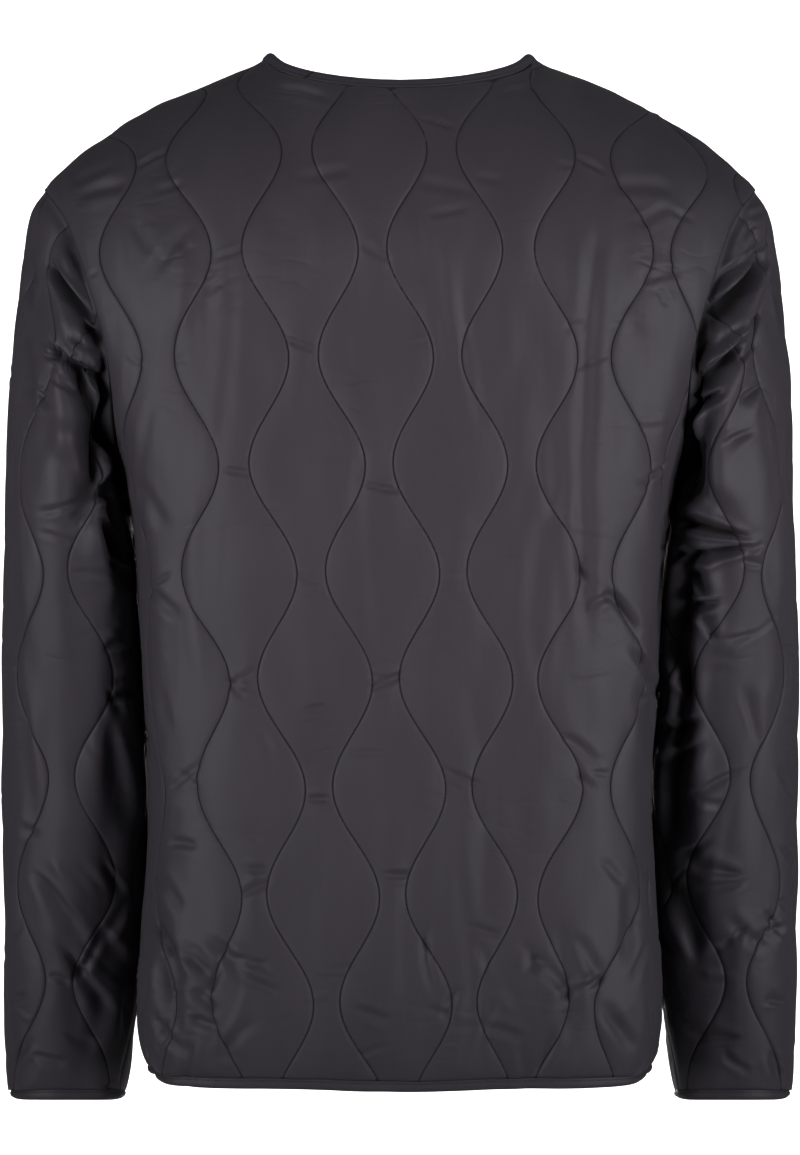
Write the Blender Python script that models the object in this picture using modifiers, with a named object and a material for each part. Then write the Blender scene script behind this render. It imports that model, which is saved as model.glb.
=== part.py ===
# Quilted jacket without a collar, in worn form and hollow.
# Frame: metres, +Z up, the front faces -Y, the wearer's left is +X.
# The origin lies between the two points where the shoulder seams reach the neck.
import bpy
import math
import numpy as np
from mathutils import Vector

# Driving sizes
shoulderX = 0.248         # half the width across the dropped shoulders
shoulderSlope = 0.40      # fall of the shoulder seam for each metre outward, near the neck
shoulderDroop = 22.3      # factor of the droop past the wearer's own shoulder
droopPower = 3.5
shoulderDepth = 0.16      # height over which the top of the body rounds over
shoulderRound = 1.7       # exponent of that rounding, 2 is a quarter circle
neckX = 0.0925            # half the width of the neck at the shoulder seams
kneeX = 0.10              # the shoulder line starts this far from the middle
kneeZ = -0.0075           # at this height
neckLean = 0.55           # share of the neck binding's width that leans inward
backNeckDrop = 0.0255     # fall of the neck seam from the shoulder seams to the middle
backNeckRound = 1.9
frontNeckDrop = 0.0835
frontNeckRound = 2.0
armpitZ = -0.29
armholeDepth = 0.70       # share of the body's depth that the armhole seam reaches
armholeRound = 3.6        # how fast the armhole widens above the armpit
hemZ = -0.7155            # height of the hem at the side seams
hemTilt = 0.037           # the hem rises by this share of its distance behind the sides
cuffZ = -0.7315           # height of the cuffs' lower edges
bindingWidth = 0.0072
bindingProud = 0.0005     # the bindings stand this far off each face of the wall
wall = 0.004              # padded wall
seamGap = 0.0003
lap = 0.018               # each front edge passes the middle by this
lapLift = 0.0052          # the left front stands this far out over the right one
lapRamp = 0.026           # and comes back to the body's form over this width
armpitSlope = 0.22        # the sleeve leaves the armhole outward by this for each metre down
capSlope = 0.48           # the same at the shoulder
capPinch = 0.10           # the cap narrows by this front and back for each metre down
capForward = 0.05         # and its top moves forward by this
sleeveJoinZ = -0.36       # the sleeve cap blends into the plain tube here
sleeveClearance = 0.0035  # between the sleeve and the body below the armpit
clearanceSoft = 0.002     # rounding where the sleeve starts to give way to the body
roundness = 3.0           # exponent of the body's plan section
snapCount = 5
snapTopZ = -0.118
snapStep = 0.134
snapRadius = 0.0065
snapSeat = 0.0002         # room for the front's curve under a flat disc
snapSides = 20
foldFadeRows = 8          # a fold is whole one eighth of the piece's height from its seams
foldFadeColumns = 6       # and one sixth of its width

# Grid: segments of each stretch
neckColumns = 5           # middle to neck corner
shoulderColumns = 5       # neck corner to armhole
lowerRows = 12            # hem to armpit
armholeRows = 10          # armpit to shoulder
capRows = 8               # armhole to the plain tube
tubeRows = 12             # plain tube to the cuff
neckSamples = 160         # points that a row is measured by, over the neck's share
sideSamples = 200         # and beyond it
seamSamples = 801         # points that the armhole seam is measured by

# height, halfWidth, backDepth, frontDepth
bodySections = np.array([
    (-0.740, 0.1640, 0.098, 0.103),
    (-0.715, 0.1675, 0.101, 0.106),
    (-0.700, 0.1750, 0.105, 0.110),
    (-0.680, 0.1805, 0.109, 0.114),
    (-0.655, 0.1815, 0.112, 0.117),
    (-0.600, 0.1775, 0.112, 0.119),
    (-0.550, 0.1745, 0.112, 0.120),
    (-0.500, 0.1745, 0.113, 0.121),
    (-0.420, 0.1790, 0.115, 0.123),
    (-0.340, 0.1845, 0.118, 0.126),
    (-0.290, 0.1925, 0.119, 0.127),
    (-0.250, 0.2070, 0.119, 0.126),
    (-0.200, 0.2269, 0.118, 0.122),
    (-0.170, 0.2410, 0.118, 0.120),
    (-0.140, 0.2540, 0.118, 0.118),
    (-0.115, 0.2674, 0.118, 0.118),
    (-0.0945, 0.2853, 0.118, 0.118),
    (0.020, 0.3300, 0.118, 0.118),
])

# height, innerX, outerX, middleY, halfDepth
sleeveSections = np.array([
    (-0.760, 0.1990, 0.2755, -0.057, 0.0440),
    (-0.725, 0.1955, 0.2775, -0.056, 0.0465),
    (-0.700, 0.1920, 0.2790, -0.054, 0.0490),
    (-0.660, 0.1865, 0.2800, -0.051, 0.0530),
    (-0.600, 0.1800, 0.2805, -0.046, 0.0580),
    (-0.540, 0.1765, 0.2800, -0.041, 0.0625),
    (-0.480, 0.1765, 0.2790, -0.035, 0.0670),
    (-0.420, 0.1785, 0.2775, -0.028, 0.0715),
    (-0.360, 0.1820, 0.2755, -0.020, 0.0765),
    (-0.300, 0.1860, 0.2725, -0.012, 0.0820),
])

# piece, x, z, dirX, dirZ, length, width, depth: soft troughs, and ridges where depth is below 0
foldTable = [
    ("back", -0.127, -0.270, 0.05, -1.0, 0.260, 0.026, 0.0030),
    ("back", 0.172, -0.148, -0.35, -1.0, 0.090, 0.020, 0.0030),
    ("back", -0.160, -0.425, -0.55, -1.0, 0.090, 0.020, 0.0035),
    ("front_left", 0.150, -0.330, -0.40, -1.0, 0.170, 0.026, 0.0030),
    ("front_right", -0.150, -0.300, 0.45, -1.0, 0.150, 0.026, 0.0030),
    ("sleeve_left", 0.236, -0.170, -0.65, -1.0, 0.110, 0.026, 0.0050),
    ("sleeve_left", 0.226, -0.242, -1.0, -0.35, 0.070, 0.022, 0.0045),
    ("sleeve_left", 0.226, -0.330, -1.0, -0.60, 0.080, 0.024, 0.0040),
    ("sleeve_right", -0.236, -0.160, 0.75, -1.0, 0.120, 0.026, 0.0050),
    ("sleeve_right", -0.232, -0.205, 0.95, -1.0, 0.110, 0.024, 0.0050),
    ("sleeve_right", -0.222, -0.336, 1.0, -0.25, 0.080, 0.024, 0.0045),
]

# slot, base colour, roughness, metallic
materialTable = [
    ("face_cloth", (0.052, 0.049, 0.055, 1.0), 0.45, 0.0),
    ("binding_cloth", (0.040, 0.038, 0.042, 1.0), 0.5, 0.0),
    ("stud_metal", (0.040, 0.040, 0.042, 1.0), 0.35, 0.7),
]


def throughTable(table, column, at):
    """Smooth curve through one column of a table: cubic pieces with the slopes of the neighbours."""
    heights = table[:, 0]
    values = table[:, column]
    slopes = np.gradient(values, heights)
    at = np.clip(at, heights[0], heights[-1])
    low = np.clip(np.searchsorted(heights, at) - 1, 0, len(heights) - 2)
    step = heights[low + 1] - heights[low]
    t = (at - heights[low]) / step
    return ((1 + 2 * t) * (1 - t) ** 2 * values[low] + t * (1 - t) ** 2 * step * slopes[low]
            + t * t * (3 - 2 * t) * values[low + 1] + t * t * (t - 1) * step * slopes[low + 1])


def smoothStep(t):
    t = np.clip(t, 0, 1)
    return t * t * (3 - 2 * t)


def superellipse(share, exponent):
    """Height of a unit superellipse over its half width: (1 - share^n)^(1/n)."""
    return (1 - np.clip(np.abs(share), 0, 1) ** exponent) ** (1 / exponent)


def ridge(x):
    """Height of the line where the body's top turns over, a parabola across the neck."""
    outward = np.maximum(np.abs(x) - kneeX, 0)
    inside = kneeZ + shoulderSlope * (kneeX ** 2 - x * x) / (2 * kneeX)
    outside = kneeZ - shoulderSlope * outward - shoulderDroop * outward ** droopPower
    return np.where(np.abs(x) < kneeX, inside, outside)


shoulderZ = float(ridge(shoulderX))


def bodyDepth(x, z, side):
    """Distance behind (side 1) or before (side -1) the shoulder line's plane."""
    depth = throughTable(bodySections, 2 if side > 0 else 3, z)
    across = superellipse(x / throughTable(bodySections, 1, z), roundness)
    turned = np.clip((ridge(x) - z) / shoulderDepth, 0, 1)
    return side * depth * across * superellipse(1 - turned, shoulderRound)


def armholeX(z):
    """Half width of a panel at the armhole seam, round at the armpit."""
    climb = np.clip((z - armpitZ) / (shoulderZ - armpitZ), 0, 1)
    reach = armholeDepth * np.sqrt(1 - (1 - climb) ** armholeRound)
    return throughTable(bodySections, 1, z) * (1 - reach ** roundness) ** (1 / roundness)


def topLine(x, side):
    """Upper edge of a panel: the neck seam, then the shoulder seam."""
    corner = ridge(neckX)
    drop = backNeckDrop if side > 0 else frontNeckDrop
    bend = backNeckRound if side > 0 else frontNeckRound
    return np.where(np.abs(x) < neckX, corner - drop * superellipse(x / neckX, bend), ridge(x))


def armholeShares():
    """Shares of the armhole's height whose seam points lie at equal distances."""
    climb = np.linspace(0, 1, seamSamples) ** 2
    z = armpitZ + (shoulderZ - armpitZ) * climb
    x = armholeX(z)
    seam = np.stack([x, bodyDepth(x, z, 1), z], axis=1)
    run = np.append(0, np.cumsum(np.linalg.norm(np.diff(seam, axis=0), axis=1)))
    return np.interp(np.linspace(0, run[-1], armholeRows + 1), run, climb)


def rowCurve(share, side, start):
    """Points of one row of a panel from x = start to its side, as x, y, z.

    Share -1..0 runs from hem seam to armpit, and 0..1 from armpit to the top edge.
    """
    neckShare = neckX / shoulderX
    first = start / shoulderX
    bend = np.linspace(math.asin(first / neckShare), math.pi / 2, neckSamples)
    beyond = 1 - (1 - np.linspace(0, 1, sideSamples)) ** 3
    ratio = np.append(neckShare * np.sin(bend), (neckShare + (1 - neckShare) * beyond)[1:])
    if share <= 0:
        x = ratio * throughTable(bodySections, 1, hemZ + (armpitZ - hemZ) * (share + 1))
        hem = hemZ + bindingWidth + hemTilt * bodyDepth(x, np.full_like(x, hemZ), side)
        z = hem + (armpitZ - hem) * (share + 1)
        x = ratio * throughTable(bodySections, 1, z)
    else:
        x = ratio * armholeX(np.array(armpitZ + (shoulderZ - armpitZ) * share))
        z = armpitZ + (topLine(ratio * shoulderX, side) - armpitZ) * share
    return np.stack([x, bodyDepth(x, z, side), z], axis=1)


def cornerShare(side, start):
    """Share of the top edge's length that lies in the neck seam."""
    edge = rowCurve(1.0, side, start)
    run = np.append(0, np.cumsum(np.linalg.norm(np.diff(edge, axis=0), axis=1)))
    return run[neckSamples - 1] / run[-1]


def panelGrid(side, start):
    """Rows from hem to top, columns from x = start to the side, at equal shares of each row's length."""
    corner = cornerShare(side, start)
    columns = np.append(np.linspace(0, corner, neckColumns + 1),
                        np.linspace(corner, 1, shoulderColumns + 1)[1:])
    rows = []
    for share in np.append(np.linspace(-1, 0, lowerRows + 1), armholeShares()[1:]):
        curve = rowCurve(share, side, start)
        run = np.append(0, np.cumsum(np.linalg.norm(np.diff(curve, axis=0), axis=1)))
        rows.append([np.interp(columns * run[-1], run, curve[:, axis]) for axis in range(3)])
    return np.array(rows).transpose(0, 2, 1)


def sleeveRing(z, turn):
    """Point on the plain sleeve: turn 0 faces the body, 0.25 back, 0.5 out, 0.75 front."""
    inner = throughTable(sleeveSections, 1, z)
    outer = throughTable(sleeveSections, 2, z)
    x = (inner + outer) / 2 - (outer - inner) / 2 * np.cos(2 * math.pi * turn)
    y = (throughTable(sleeveSections, 3, z)
         + throughTable(sleeveSections, 4, z) * np.sin(2 * math.pi * turn))
    return np.stack([x, y, z], axis=-1)


def clearOfBody(points, ease):
    """Moves sleeve points out of the body's form, softly, by the clearance times ease."""
    x, y, z = points[..., 0], points[..., 1], points[..., 2]
    depth = np.where(y > 0, throughTable(bodySections, 2, z), throughTable(bodySections, 3, z))
    least = throughTable(bodySections, 1, z) * superellipse(y / depth, roundness) + sleeveClearance
    soft = 0.5 * (x + least + np.sqrt((x - least) ** 2 + clearanceSoft ** 2))
    moved = points.copy()
    moved[..., 0] = x + ease * (soft - x)
    return moved


def sleeveGrid():
    """Left sleeve, rows from armhole to cuff seam, columns round it from the armpit up the back.

    Each column of the cap is a cubic curve that leaves the armhole along one direction and
    arrives along the plain tube.
    """
    z = armpitZ + (shoulderZ - armpitZ) * armholeShares()
    x = armholeX(z)
    back = np.stack([x, bodyDepth(x, z, 1), z], axis=1)
    front = np.stack([x, bodyDepth(x, z, -1), z], axis=1)
    loop = np.concatenate([back, front[-2:0:-1]])
    turn = np.arange(len(loop)) / len(loop)
    join = sleeveRing(np.full(len(loop), sleeveJoinZ), turn)
    below = sleeveRing(np.full(len(loop), sleeveJoinZ - 0.01), turn)
    over = np.sin(math.pi * turn) ** 2
    leave = np.stack([armpitSlope + (capSlope - armpitSlope) * over,
                      -capPinch * np.sin(2 * math.pi * turn) - capForward * over,
                      -np.ones(len(loop))], axis=1)
    leave /= np.linalg.norm(leave, axis=1)[:, None]
    arrive = (below - join) / 0.01
    length = np.linalg.norm(join - loop, axis=1)[:, None]
    rows = []
    for t in np.linspace(0, 1, capRows + 1):
        cap = ((1 + 2 * t) * (1 - t) ** 2 * loop + t * (1 - t) ** 2 * length * leave
               + t * t * (3 - 2 * t) * join + t * t * (t - 1) * length * arrive)
        rows.append(clearOfBody(cap, smoothStep(2 * t)))
    for z in np.linspace(sleeveJoinZ, cuffZ + bindingWidth, tubeRows + 1)[1:]:
        rows.append(clearOfBody(sleeveRing(np.full(len(loop), z), turn), 1.0))
    return np.array(rows)


def gridNormals(grid, around):
    """Unit normals of a grid of points, pointing away from the piece's middle line."""
    if around:
        wide = np.concatenate([grid[:, -1:], grid, grid[:, :1]], axis=1)
        across = np.gradient(wide, axis=1)[:, 1:-1]
    else:
        across = np.gradient(grid, axis=1)
    normals = np.cross(across, np.gradient(grid, axis=0))
    return normals / np.linalg.norm(normals, axis=2)[..., None]


def addFolds(name, grid, around):
    """Pushes the grid in along its folds: a bell across each, fading at its ends and at the seams."""
    rows = np.linspace(0, 1, grid.shape[0])[:, None]
    fade = smoothStep(rows * foldFadeRows) * smoothStep((1 - rows) * foldFadeRows)
    fade = fade * np.ones((1, grid.shape[1]))
    if not around:
        columns = np.linspace(0, 1, grid.shape[1])
        fade = fade * smoothStep(columns * foldFadeColumns)
        fade = fade * smoothStep((1 - columns) * foldFadeColumns)
    if name.startswith("sleeve"):
        fade = fade * (grid[..., 1] > throughTable(sleeveSections, 3, grid[..., 2]))
    push = np.zeros(grid.shape[:2])
    for piece, x, z, dirX, dirZ, length, width, depth in foldTable:
        if piece != name:
            continue
        size = math.hypot(dirX, dirZ)
        along = ((grid[..., 0] - x) * dirX + (grid[..., 2] - z) * dirZ) / size
        off = ((grid[..., 0] - x) * dirZ - (grid[..., 2] - z) * dirX) / size
        push += depth * np.exp(-(off / width) ** 2) * smoothStep(1.5 - np.abs(along) / length * 2)
    return grid - (push * fade)[..., None] * gridNormals(grid, around)


def liftLap(grid):
    """Stands the left front's edge out over the right front."""
    lift = lapLift * smoothStep((lap + 0.006 + lapRamp - grid[..., 0]) / lapRamp)
    return grid + lift[..., None] * gridNormals(grid, False)


def mirrored(grid):
    return (grid * np.array([-1, 1, 1]))[:, ::-1]


def neckStrip(seam):
    """Second row of the neck binding: from the neck seam upward and a little inward."""
    inward = -seam * np.array([1, 1, 0])
    inward /= np.linalg.norm(inward, axis=1)[:, None]
    step = neckLean * inward + np.array([0, 0, math.sqrt(1 - neckLean ** 2)])
    return np.stack([seam, seam + bindingWidth * step])


def hemStrip(seam):
    """Second row of the hem binding: straight down from the hem seam."""
    return np.stack([seam - np.array([0, 0, bindingWidth]), seam])


def edgeStrip(grid, towards):
    """Two columns of a front binding: the panel's edge and the line one binding width past it."""
    edge = grid[:, 0] if towards < 0 else grid[:, -1]
    past = edge + np.array([towards * bindingWidth, 0, 0])
    return np.stack([past, edge] if towards < 0 else [edge, past], axis=1)


def cuffStrip(seam):
    return np.stack([seam, seam - np.array([0, 0, bindingWidth])])


def makePieces():
    """Every cloth piece as (grid, around, sides with a seam). Neighbours share their seam points.

    Sides are low row, high row, low column, high column.
    """
    backHalf = panelGrid(1, 0.0)
    back = np.concatenate([backHalf[:, :0:-1], backHalf * np.array([-1, 1, 1])], axis=1)
    frontHalf = panelGrid(-1, -(lap - bindingWidth))
    left = liftLap(frontHalf)
    right = mirrored(frontHalf)
    sleeve = sleeveGrid()
    sleeveRight = np.roll(mirrored(sleeve), 1, axis=1)
    left = addFolds("front_left", left, False)
    right = addFolds("front_right", right, False)
    back = addFolds("back", back, False)
    sleeve = addFolds("sleeve_left", sleeve, True)
    sleeveRight = addFolds("sleeve_right", sleeveRight, True)
    edgeLeft = edgeStrip(left, -1)
    edgeRight = edgeStrip(right, 1)
    neckSeam = np.concatenate([edgeLeft[-1, :1], left[-1, :neckColumns + 1],
                               back[-1, shoulderColumns + 1:-shoulderColumns],
                               right[-1, -neckColumns:], edgeRight[-1, 1:]])
    hemSeam = np.concatenate([edgeLeft[0, :1], left[0], back[0, 1:], right[0, 1:], edgeRight[0, 1:]])
    everySide = (True, True, True, True)
    return {
        "back": (back, False, everySide),
        "front_left": (left, False, everySide),
        "front_right": (right, False, everySide),
        "sleeve_left": (sleeve, True, (True, True, False, False)),
        "sleeve_right": (sleeveRight, True, (True, True, False, False)),
        "front_binding_left": (edgeLeft, False, (True, True, False, True)),
        "front_binding_right": (edgeRight, False, (True, True, True, False)),
        "neck_binding": (neckStrip(neckSeam), False, (True, False, False, False)),
        "hem_binding": (hemStrip(hemSeam), False, (False, True, False, False)),
        "cuff_binding_left": (cuffStrip(sleeve[-1]), True, (True, False, False, False)),
        "cuff_binding_right": (cuffStrip(sleeveRight[-1]), True, (True, False, False, False)),
    }


def quads(rows, columns, around):
    """Corner numbers of a grid's quads, which face away from the hollow inside."""
    row, column = np.meshgrid(np.arange(rows - 1), np.arange(columns if around else columns - 1),
                              indexing="ij")
    after = (column + 1) % columns
    corners = np.stack([row * columns + column, row * columns + after,
                        (row + 1) * columns + after, (row + 1) * columns + column], axis=-1)
    return corners.reshape(-1, 4)


def sharedNormals(pieces):
    """One normal for each place, from all the faces that meet there, so that seams are mitred.

    Each face counts by its angle at that corner.
    """
    places = {}
    for grid, around, _ in pieces.values():
        points = grid.reshape(-1, 3)
        keys = [tuple(key) for key in np.round(points * 1e5).astype(int)]
        for face in quads(grid.shape[0], grid.shape[1], around):
            a, b, c, d = points[face]
            normal = np.cross(c - a, d - b)
            normal /= max(np.linalg.norm(normal), 1e-12)
            for corner, before, after in zip(face, np.roll(face, 1), np.roll(face, -1)):
                first = points[before] - points[corner]
                second = points[after] - points[corner]
                cosine = first @ second / (np.linalg.norm(first) * np.linalg.norm(second))
                places[keys[corner]] = places.get(keys[corner], 0) + math.acos(cosine) * normal
    shared = {}
    for name, (grid, around, _) in pieces.items():
        keys = [tuple(key) for key in np.round(grid.reshape(-1, 3) * 1e5).astype(int)]
        normals = np.array([places[key] for key in keys])
        shared[name] = (normals / np.linalg.norm(normals, axis=1)[:, None]).reshape(grid.shape)
    return shared


def drawBack(grid, normals, around, sides):
    """Moves the seam sides of a grid back into the piece by half the seam gap, along its surface."""
    moved = grid.copy()
    half = seamGap / 2
    if around:
        wide = np.concatenate([grid[:, -1:], grid, grid[:, :1]], axis=1)
        along = np.gradient(wide, axis=1)[:, 1:-1]
    else:
        along = np.gradient(grid, axis=1)
    up = np.gradient(grid, axis=0)
    for flag, index, tangent, inside in (
            (sides[0], (0, slice(None)), along, (1, slice(None))),
            (sides[1], (-1, slice(None)), along, (-2, slice(None))),
            (sides[2], (slice(None), 0), up, (slice(None), 1)),
            (sides[3], (slice(None), -1), up, (slice(None), -2))):
        if not flag:
            continue
        into = np.cross(normals[index], tangent[index])
        into /= np.linalg.norm(into, axis=1)[:, None]
        facing = np.sign(np.sum(into * (grid[inside] - grid[index]), axis=1))
        moved[index] += half * into * facing[:, None]
    return moved


def wallMesh(name, grid, normals, around, outer, inner):
    """Closed wall between the grid moved out and the grid moved in along its normals."""
    rows, columns = grid.shape[:2]
    outside = (grid + outer * normals).reshape(-1, 3)
    inside = (grid - inner * normals).reshape(-1, 3)
    count = len(outside)
    faces = [tuple(face) for face in quads(rows, columns, around)]
    faces += [tuple(face[::-1] + count) for face in quads(rows, columns, around)]
    number = np.arange(count).reshape(rows, columns)
    low = list(number[0]) + ([number[0, 0]] if around else list(number[1:, -1]))
    if around:
        loops = [low, (list(number[-1]) + [number[-1, 0]])[::-1]]
    else:
        loops = [low + list(number[-1, -2::-1]) + list(number[-2::-1, 0])]
    places = grid.reshape(-1, 3)[:, ::-1].round(3).tolist()
    for loop in loops:
        for first, second in zip(loop[:-1], loop[1:]):
            if places[first] < places[second]:
                faces += [(second, first, second + count), (first, first + count, second + count)]
            else:
                faces += [(second, first, first + count), (second, first + count, second + count)]
    mesh = bpy.data.meshes.new(name)
    mesh.from_pydata(np.concatenate([outside, inside]).tolist(), [], faces)
    mesh.validate()
    mesh.update()
    return mesh


def makeMaterials():
    materials = {}
    for slot, colour, roughness, metallic in materialTable:
        material = bpy.data.materials.new(slot)
        material.use_nodes = True
        shader = material.node_tree.nodes["Principled BSDF"]
        shader.inputs["Base Color"].default_value = colour
        shader.inputs["Roughness"].default_value = roughness
        shader.inputs["Metallic"].default_value = metallic
        material.diffuse_color = colour
        materials[slot] = material
    return materials


def addObject(collection, name, mesh, material):
    piece = bpy.data.objects.new(name, mesh)
    collection.objects.link(piece)
    mesh.materials.append(material)
    return piece


def turnedDisc(name, profile):
    """Mesh whose edges are a half profile of (radius, height), for a Screw modifier to turn."""
    mesh = bpy.data.meshes.new(name)
    points = [(radius, 0, height) for radius, height in profile]
    mesh.from_pydata(points, [(k, k + 1) for k in range(len(points) - 1)], [])
    return mesh


def addTurned(collection, name, mesh, material, place, facing):
    """A turned piece whose foot stands at place and whose axis points along facing."""
    piece = addObject(collection, name, mesh, material)
    screw = piece.modifiers.new("Turn", "SCREW")
    screw.steps = snapSides
    screw.render_steps = snapSides
    screw.use_merge_vertices = True
    screw.merge_threshold = 0.00001
    piece.location = place
    piece.rotation_mode = "QUATERNION"
    piece.rotation_quaternion = facing.to_track_quat("Z", "Y")
    return piece


def onGrid(grid, normals, x, z):
    """Place and normal on a grid where it has this x and z, from the nearest quad's plane."""
    flat = grid.reshape(-1, 3)
    nearest = np.argsort((flat[:, 0] - x) ** 2 + (flat[:, 2] - z) ** 2)[:4]
    weights = 1 / (1e-6 + np.hypot(flat[nearest, 0] - x, flat[nearest, 2] - z))
    weights /= weights.sum()
    normal = weights @ normals.reshape(-1, 3)[nearest]
    normal /= np.linalg.norm(normal)
    anchor = weights @ flat[nearest]
    y = anchor[1] - ((x - anchor[0]) * normal[0] + (z - anchor[2]) * normal[2]) / normal[1]
    return np.array([x, y, z]), normal


def addSnaps(collection, pieces, shared, material):
    """Press studs down the middle: a cap on the left front and its back inside the right front."""
    radius = snapRadius
    cap = turnedDisc("snap_cap", [(0, 0.0018), (0.5 * radius, 0.0016), (0.85 * radius, 0.0011),
                                  (radius, 0.0004), (radius, 0), (0, 0)])
    back = turnedDisc("snap_back", [(0, 0.0008), (0.4 * radius, 0.0008), (0.5 * radius, 0.0014),
                                    (0.8 * radius, 0.0014), (0.85 * radius, 0), (0, 0)])
    for count in range(snapCount):
        z = snapTopZ - count * snapStep
        place, normal = onGrid(pieces["front_left"][0], shared["front_left"], 0.0, z)
        addTurned(collection, f"snap_cap_{count + 1}", cap.copy(), material,
                  place + (seamGap + snapSeat) * normal, Vector(normal))
        place, normal = onGrid(pieces["front_right"][0], shared["front_right"], 0.0, z)
        addTurned(collection, f"snap_back_{count + 1}", back.copy(), material,
                  place - (wall + seamGap + snapSeat) * normal, -Vector(normal))


def build():
    for old in list(bpy.data.objects):
        bpy.data.objects.remove(old)
    collection = bpy.data.collections.new("quilted_jacket")
    bpy.context.scene.collection.children.link(collection)
    materials = makeMaterials()
    pieces = makePieces()
    shared = sharedNormals(pieces)
    for name, (grid, around, sides) in pieces.items():
        drawn = drawBack(grid, shared[name], around, sides)
        trim = "binding" in name
        outer = bindingProud if trim else 0.0
        inner = wall + bindingProud if trim else wall
        mesh = wallMesh(name, drawn, shared[name], around, outer, inner)
        addObject(collection, name, mesh, materials["binding_cloth" if trim else "face_cloth"])
    addSnaps(collection, pieces, shared, materials["stud_metal"])


build()
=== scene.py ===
import math
import bpy
import numpy as np
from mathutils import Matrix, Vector


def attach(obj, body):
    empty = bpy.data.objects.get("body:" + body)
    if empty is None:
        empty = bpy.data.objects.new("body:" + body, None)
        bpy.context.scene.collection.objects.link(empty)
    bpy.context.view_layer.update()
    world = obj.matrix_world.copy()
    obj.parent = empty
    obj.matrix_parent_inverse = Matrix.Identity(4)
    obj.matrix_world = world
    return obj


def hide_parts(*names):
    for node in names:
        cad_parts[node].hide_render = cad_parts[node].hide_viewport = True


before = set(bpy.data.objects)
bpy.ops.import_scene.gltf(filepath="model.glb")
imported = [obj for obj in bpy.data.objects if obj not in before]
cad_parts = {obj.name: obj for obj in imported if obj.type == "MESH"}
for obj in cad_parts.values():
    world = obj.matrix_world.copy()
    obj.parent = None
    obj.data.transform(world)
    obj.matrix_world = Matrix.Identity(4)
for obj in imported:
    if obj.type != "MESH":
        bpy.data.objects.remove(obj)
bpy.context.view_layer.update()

# Metres, +Z up, the front faces -Y and the wearer's left is +X.
# The origin lies between the two points where the shoulder seams reach the neck.

body = {
    "shoulderX": 0.248,      # half the width across the dropped shoulders
    "shoulderSlope": 0.40,   # fall of the shoulder seam near the neck
    "shoulderDroop": 22.3,   # how fast it droops past the wearer's own shoulder
    "droopPower": 3.5,
    "shoulderDepth": 0.16,   # height over which the top rounds over
    "shoulderRound": 1.7,
    "neckX": 0.0925,
    "kneeX": 0.10,           # the straight shoulder line starts here
    "kneeZ": -0.0075,
    "backNeckDrop": 0.0255,
    "backNeckRound": 1.9,
    "frontNeckDrop": 0.0835,
    "frontNeckRound": 2.0,
    "armpitZ": -0.29,
    "armholeDepth": 0.70,
    "armholeRound": 3.6,
    "hemZ": -0.7150,
    "hemTilt": 0.020,
    "hemRise": 0.0045,       # the hem rises by this at half of hemSpan beside the middle
    "hemSpan": 0.28,
    "foldGain": 1.7,
    "seamCalm": 0.010,       # folds fade out this near to a seam
    "roomShare": 0.3,        # share of the room between body and sleeve that its puff may take
    "roundness": 3.0,        # exponent of the body's plan section
    "shoulderStand": 0.0012, # the seam's layers hold the top edge out by this
    "neckStand": 0.0016,     # and by this much more beside the neck
    "sideBulge": 0.0085,     # the back is flatter than its form: it stands out by this near its sides
    "lowerRows": 220,
    "upperRows": 140,
    "evenHeight": 0.7,       # upper rows: this share by height, the rest by the armhole's length
    "neckSteps": 240,        # points of the form's rows, up to the neck's corner and beyond it
    "sideSteps": 700,
    "backColumns": 201,
    "frontColumns": 117,
    # height, half width, depth behind, depth in front
    "sections": np.array([
        (-0.740, 0.1655, 0.098, 0.103),
        (-0.715, 0.1705, 0.101, 0.106),
        (-0.700, 0.1765, 0.105, 0.110),
        (-0.680, 0.1805, 0.109, 0.114),
        (-0.655, 0.1815, 0.112, 0.117),
        (-0.600, 0.1775, 0.112, 0.119),
        (-0.550, 0.1745, 0.112, 0.120),
        (-0.500, 0.1745, 0.113, 0.121),
        (-0.420, 0.1790, 0.115, 0.123),
        (-0.340, 0.1845, 0.118, 0.126),
        (-0.290, 0.1925, 0.119, 0.127),
        (-0.250, 0.2070, 0.119, 0.126),
        (-0.200, 0.2269, 0.118, 0.122),
        (-0.170, 0.2410, 0.118, 0.120),
        (-0.140, 0.2540, 0.118, 0.118),
        (-0.115, 0.2674, 0.118, 0.118),
        (-0.0945, 0.2853, 0.118, 0.118),
        (0.020, 0.3300, 0.118, 0.118),
    ]),
}

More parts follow.
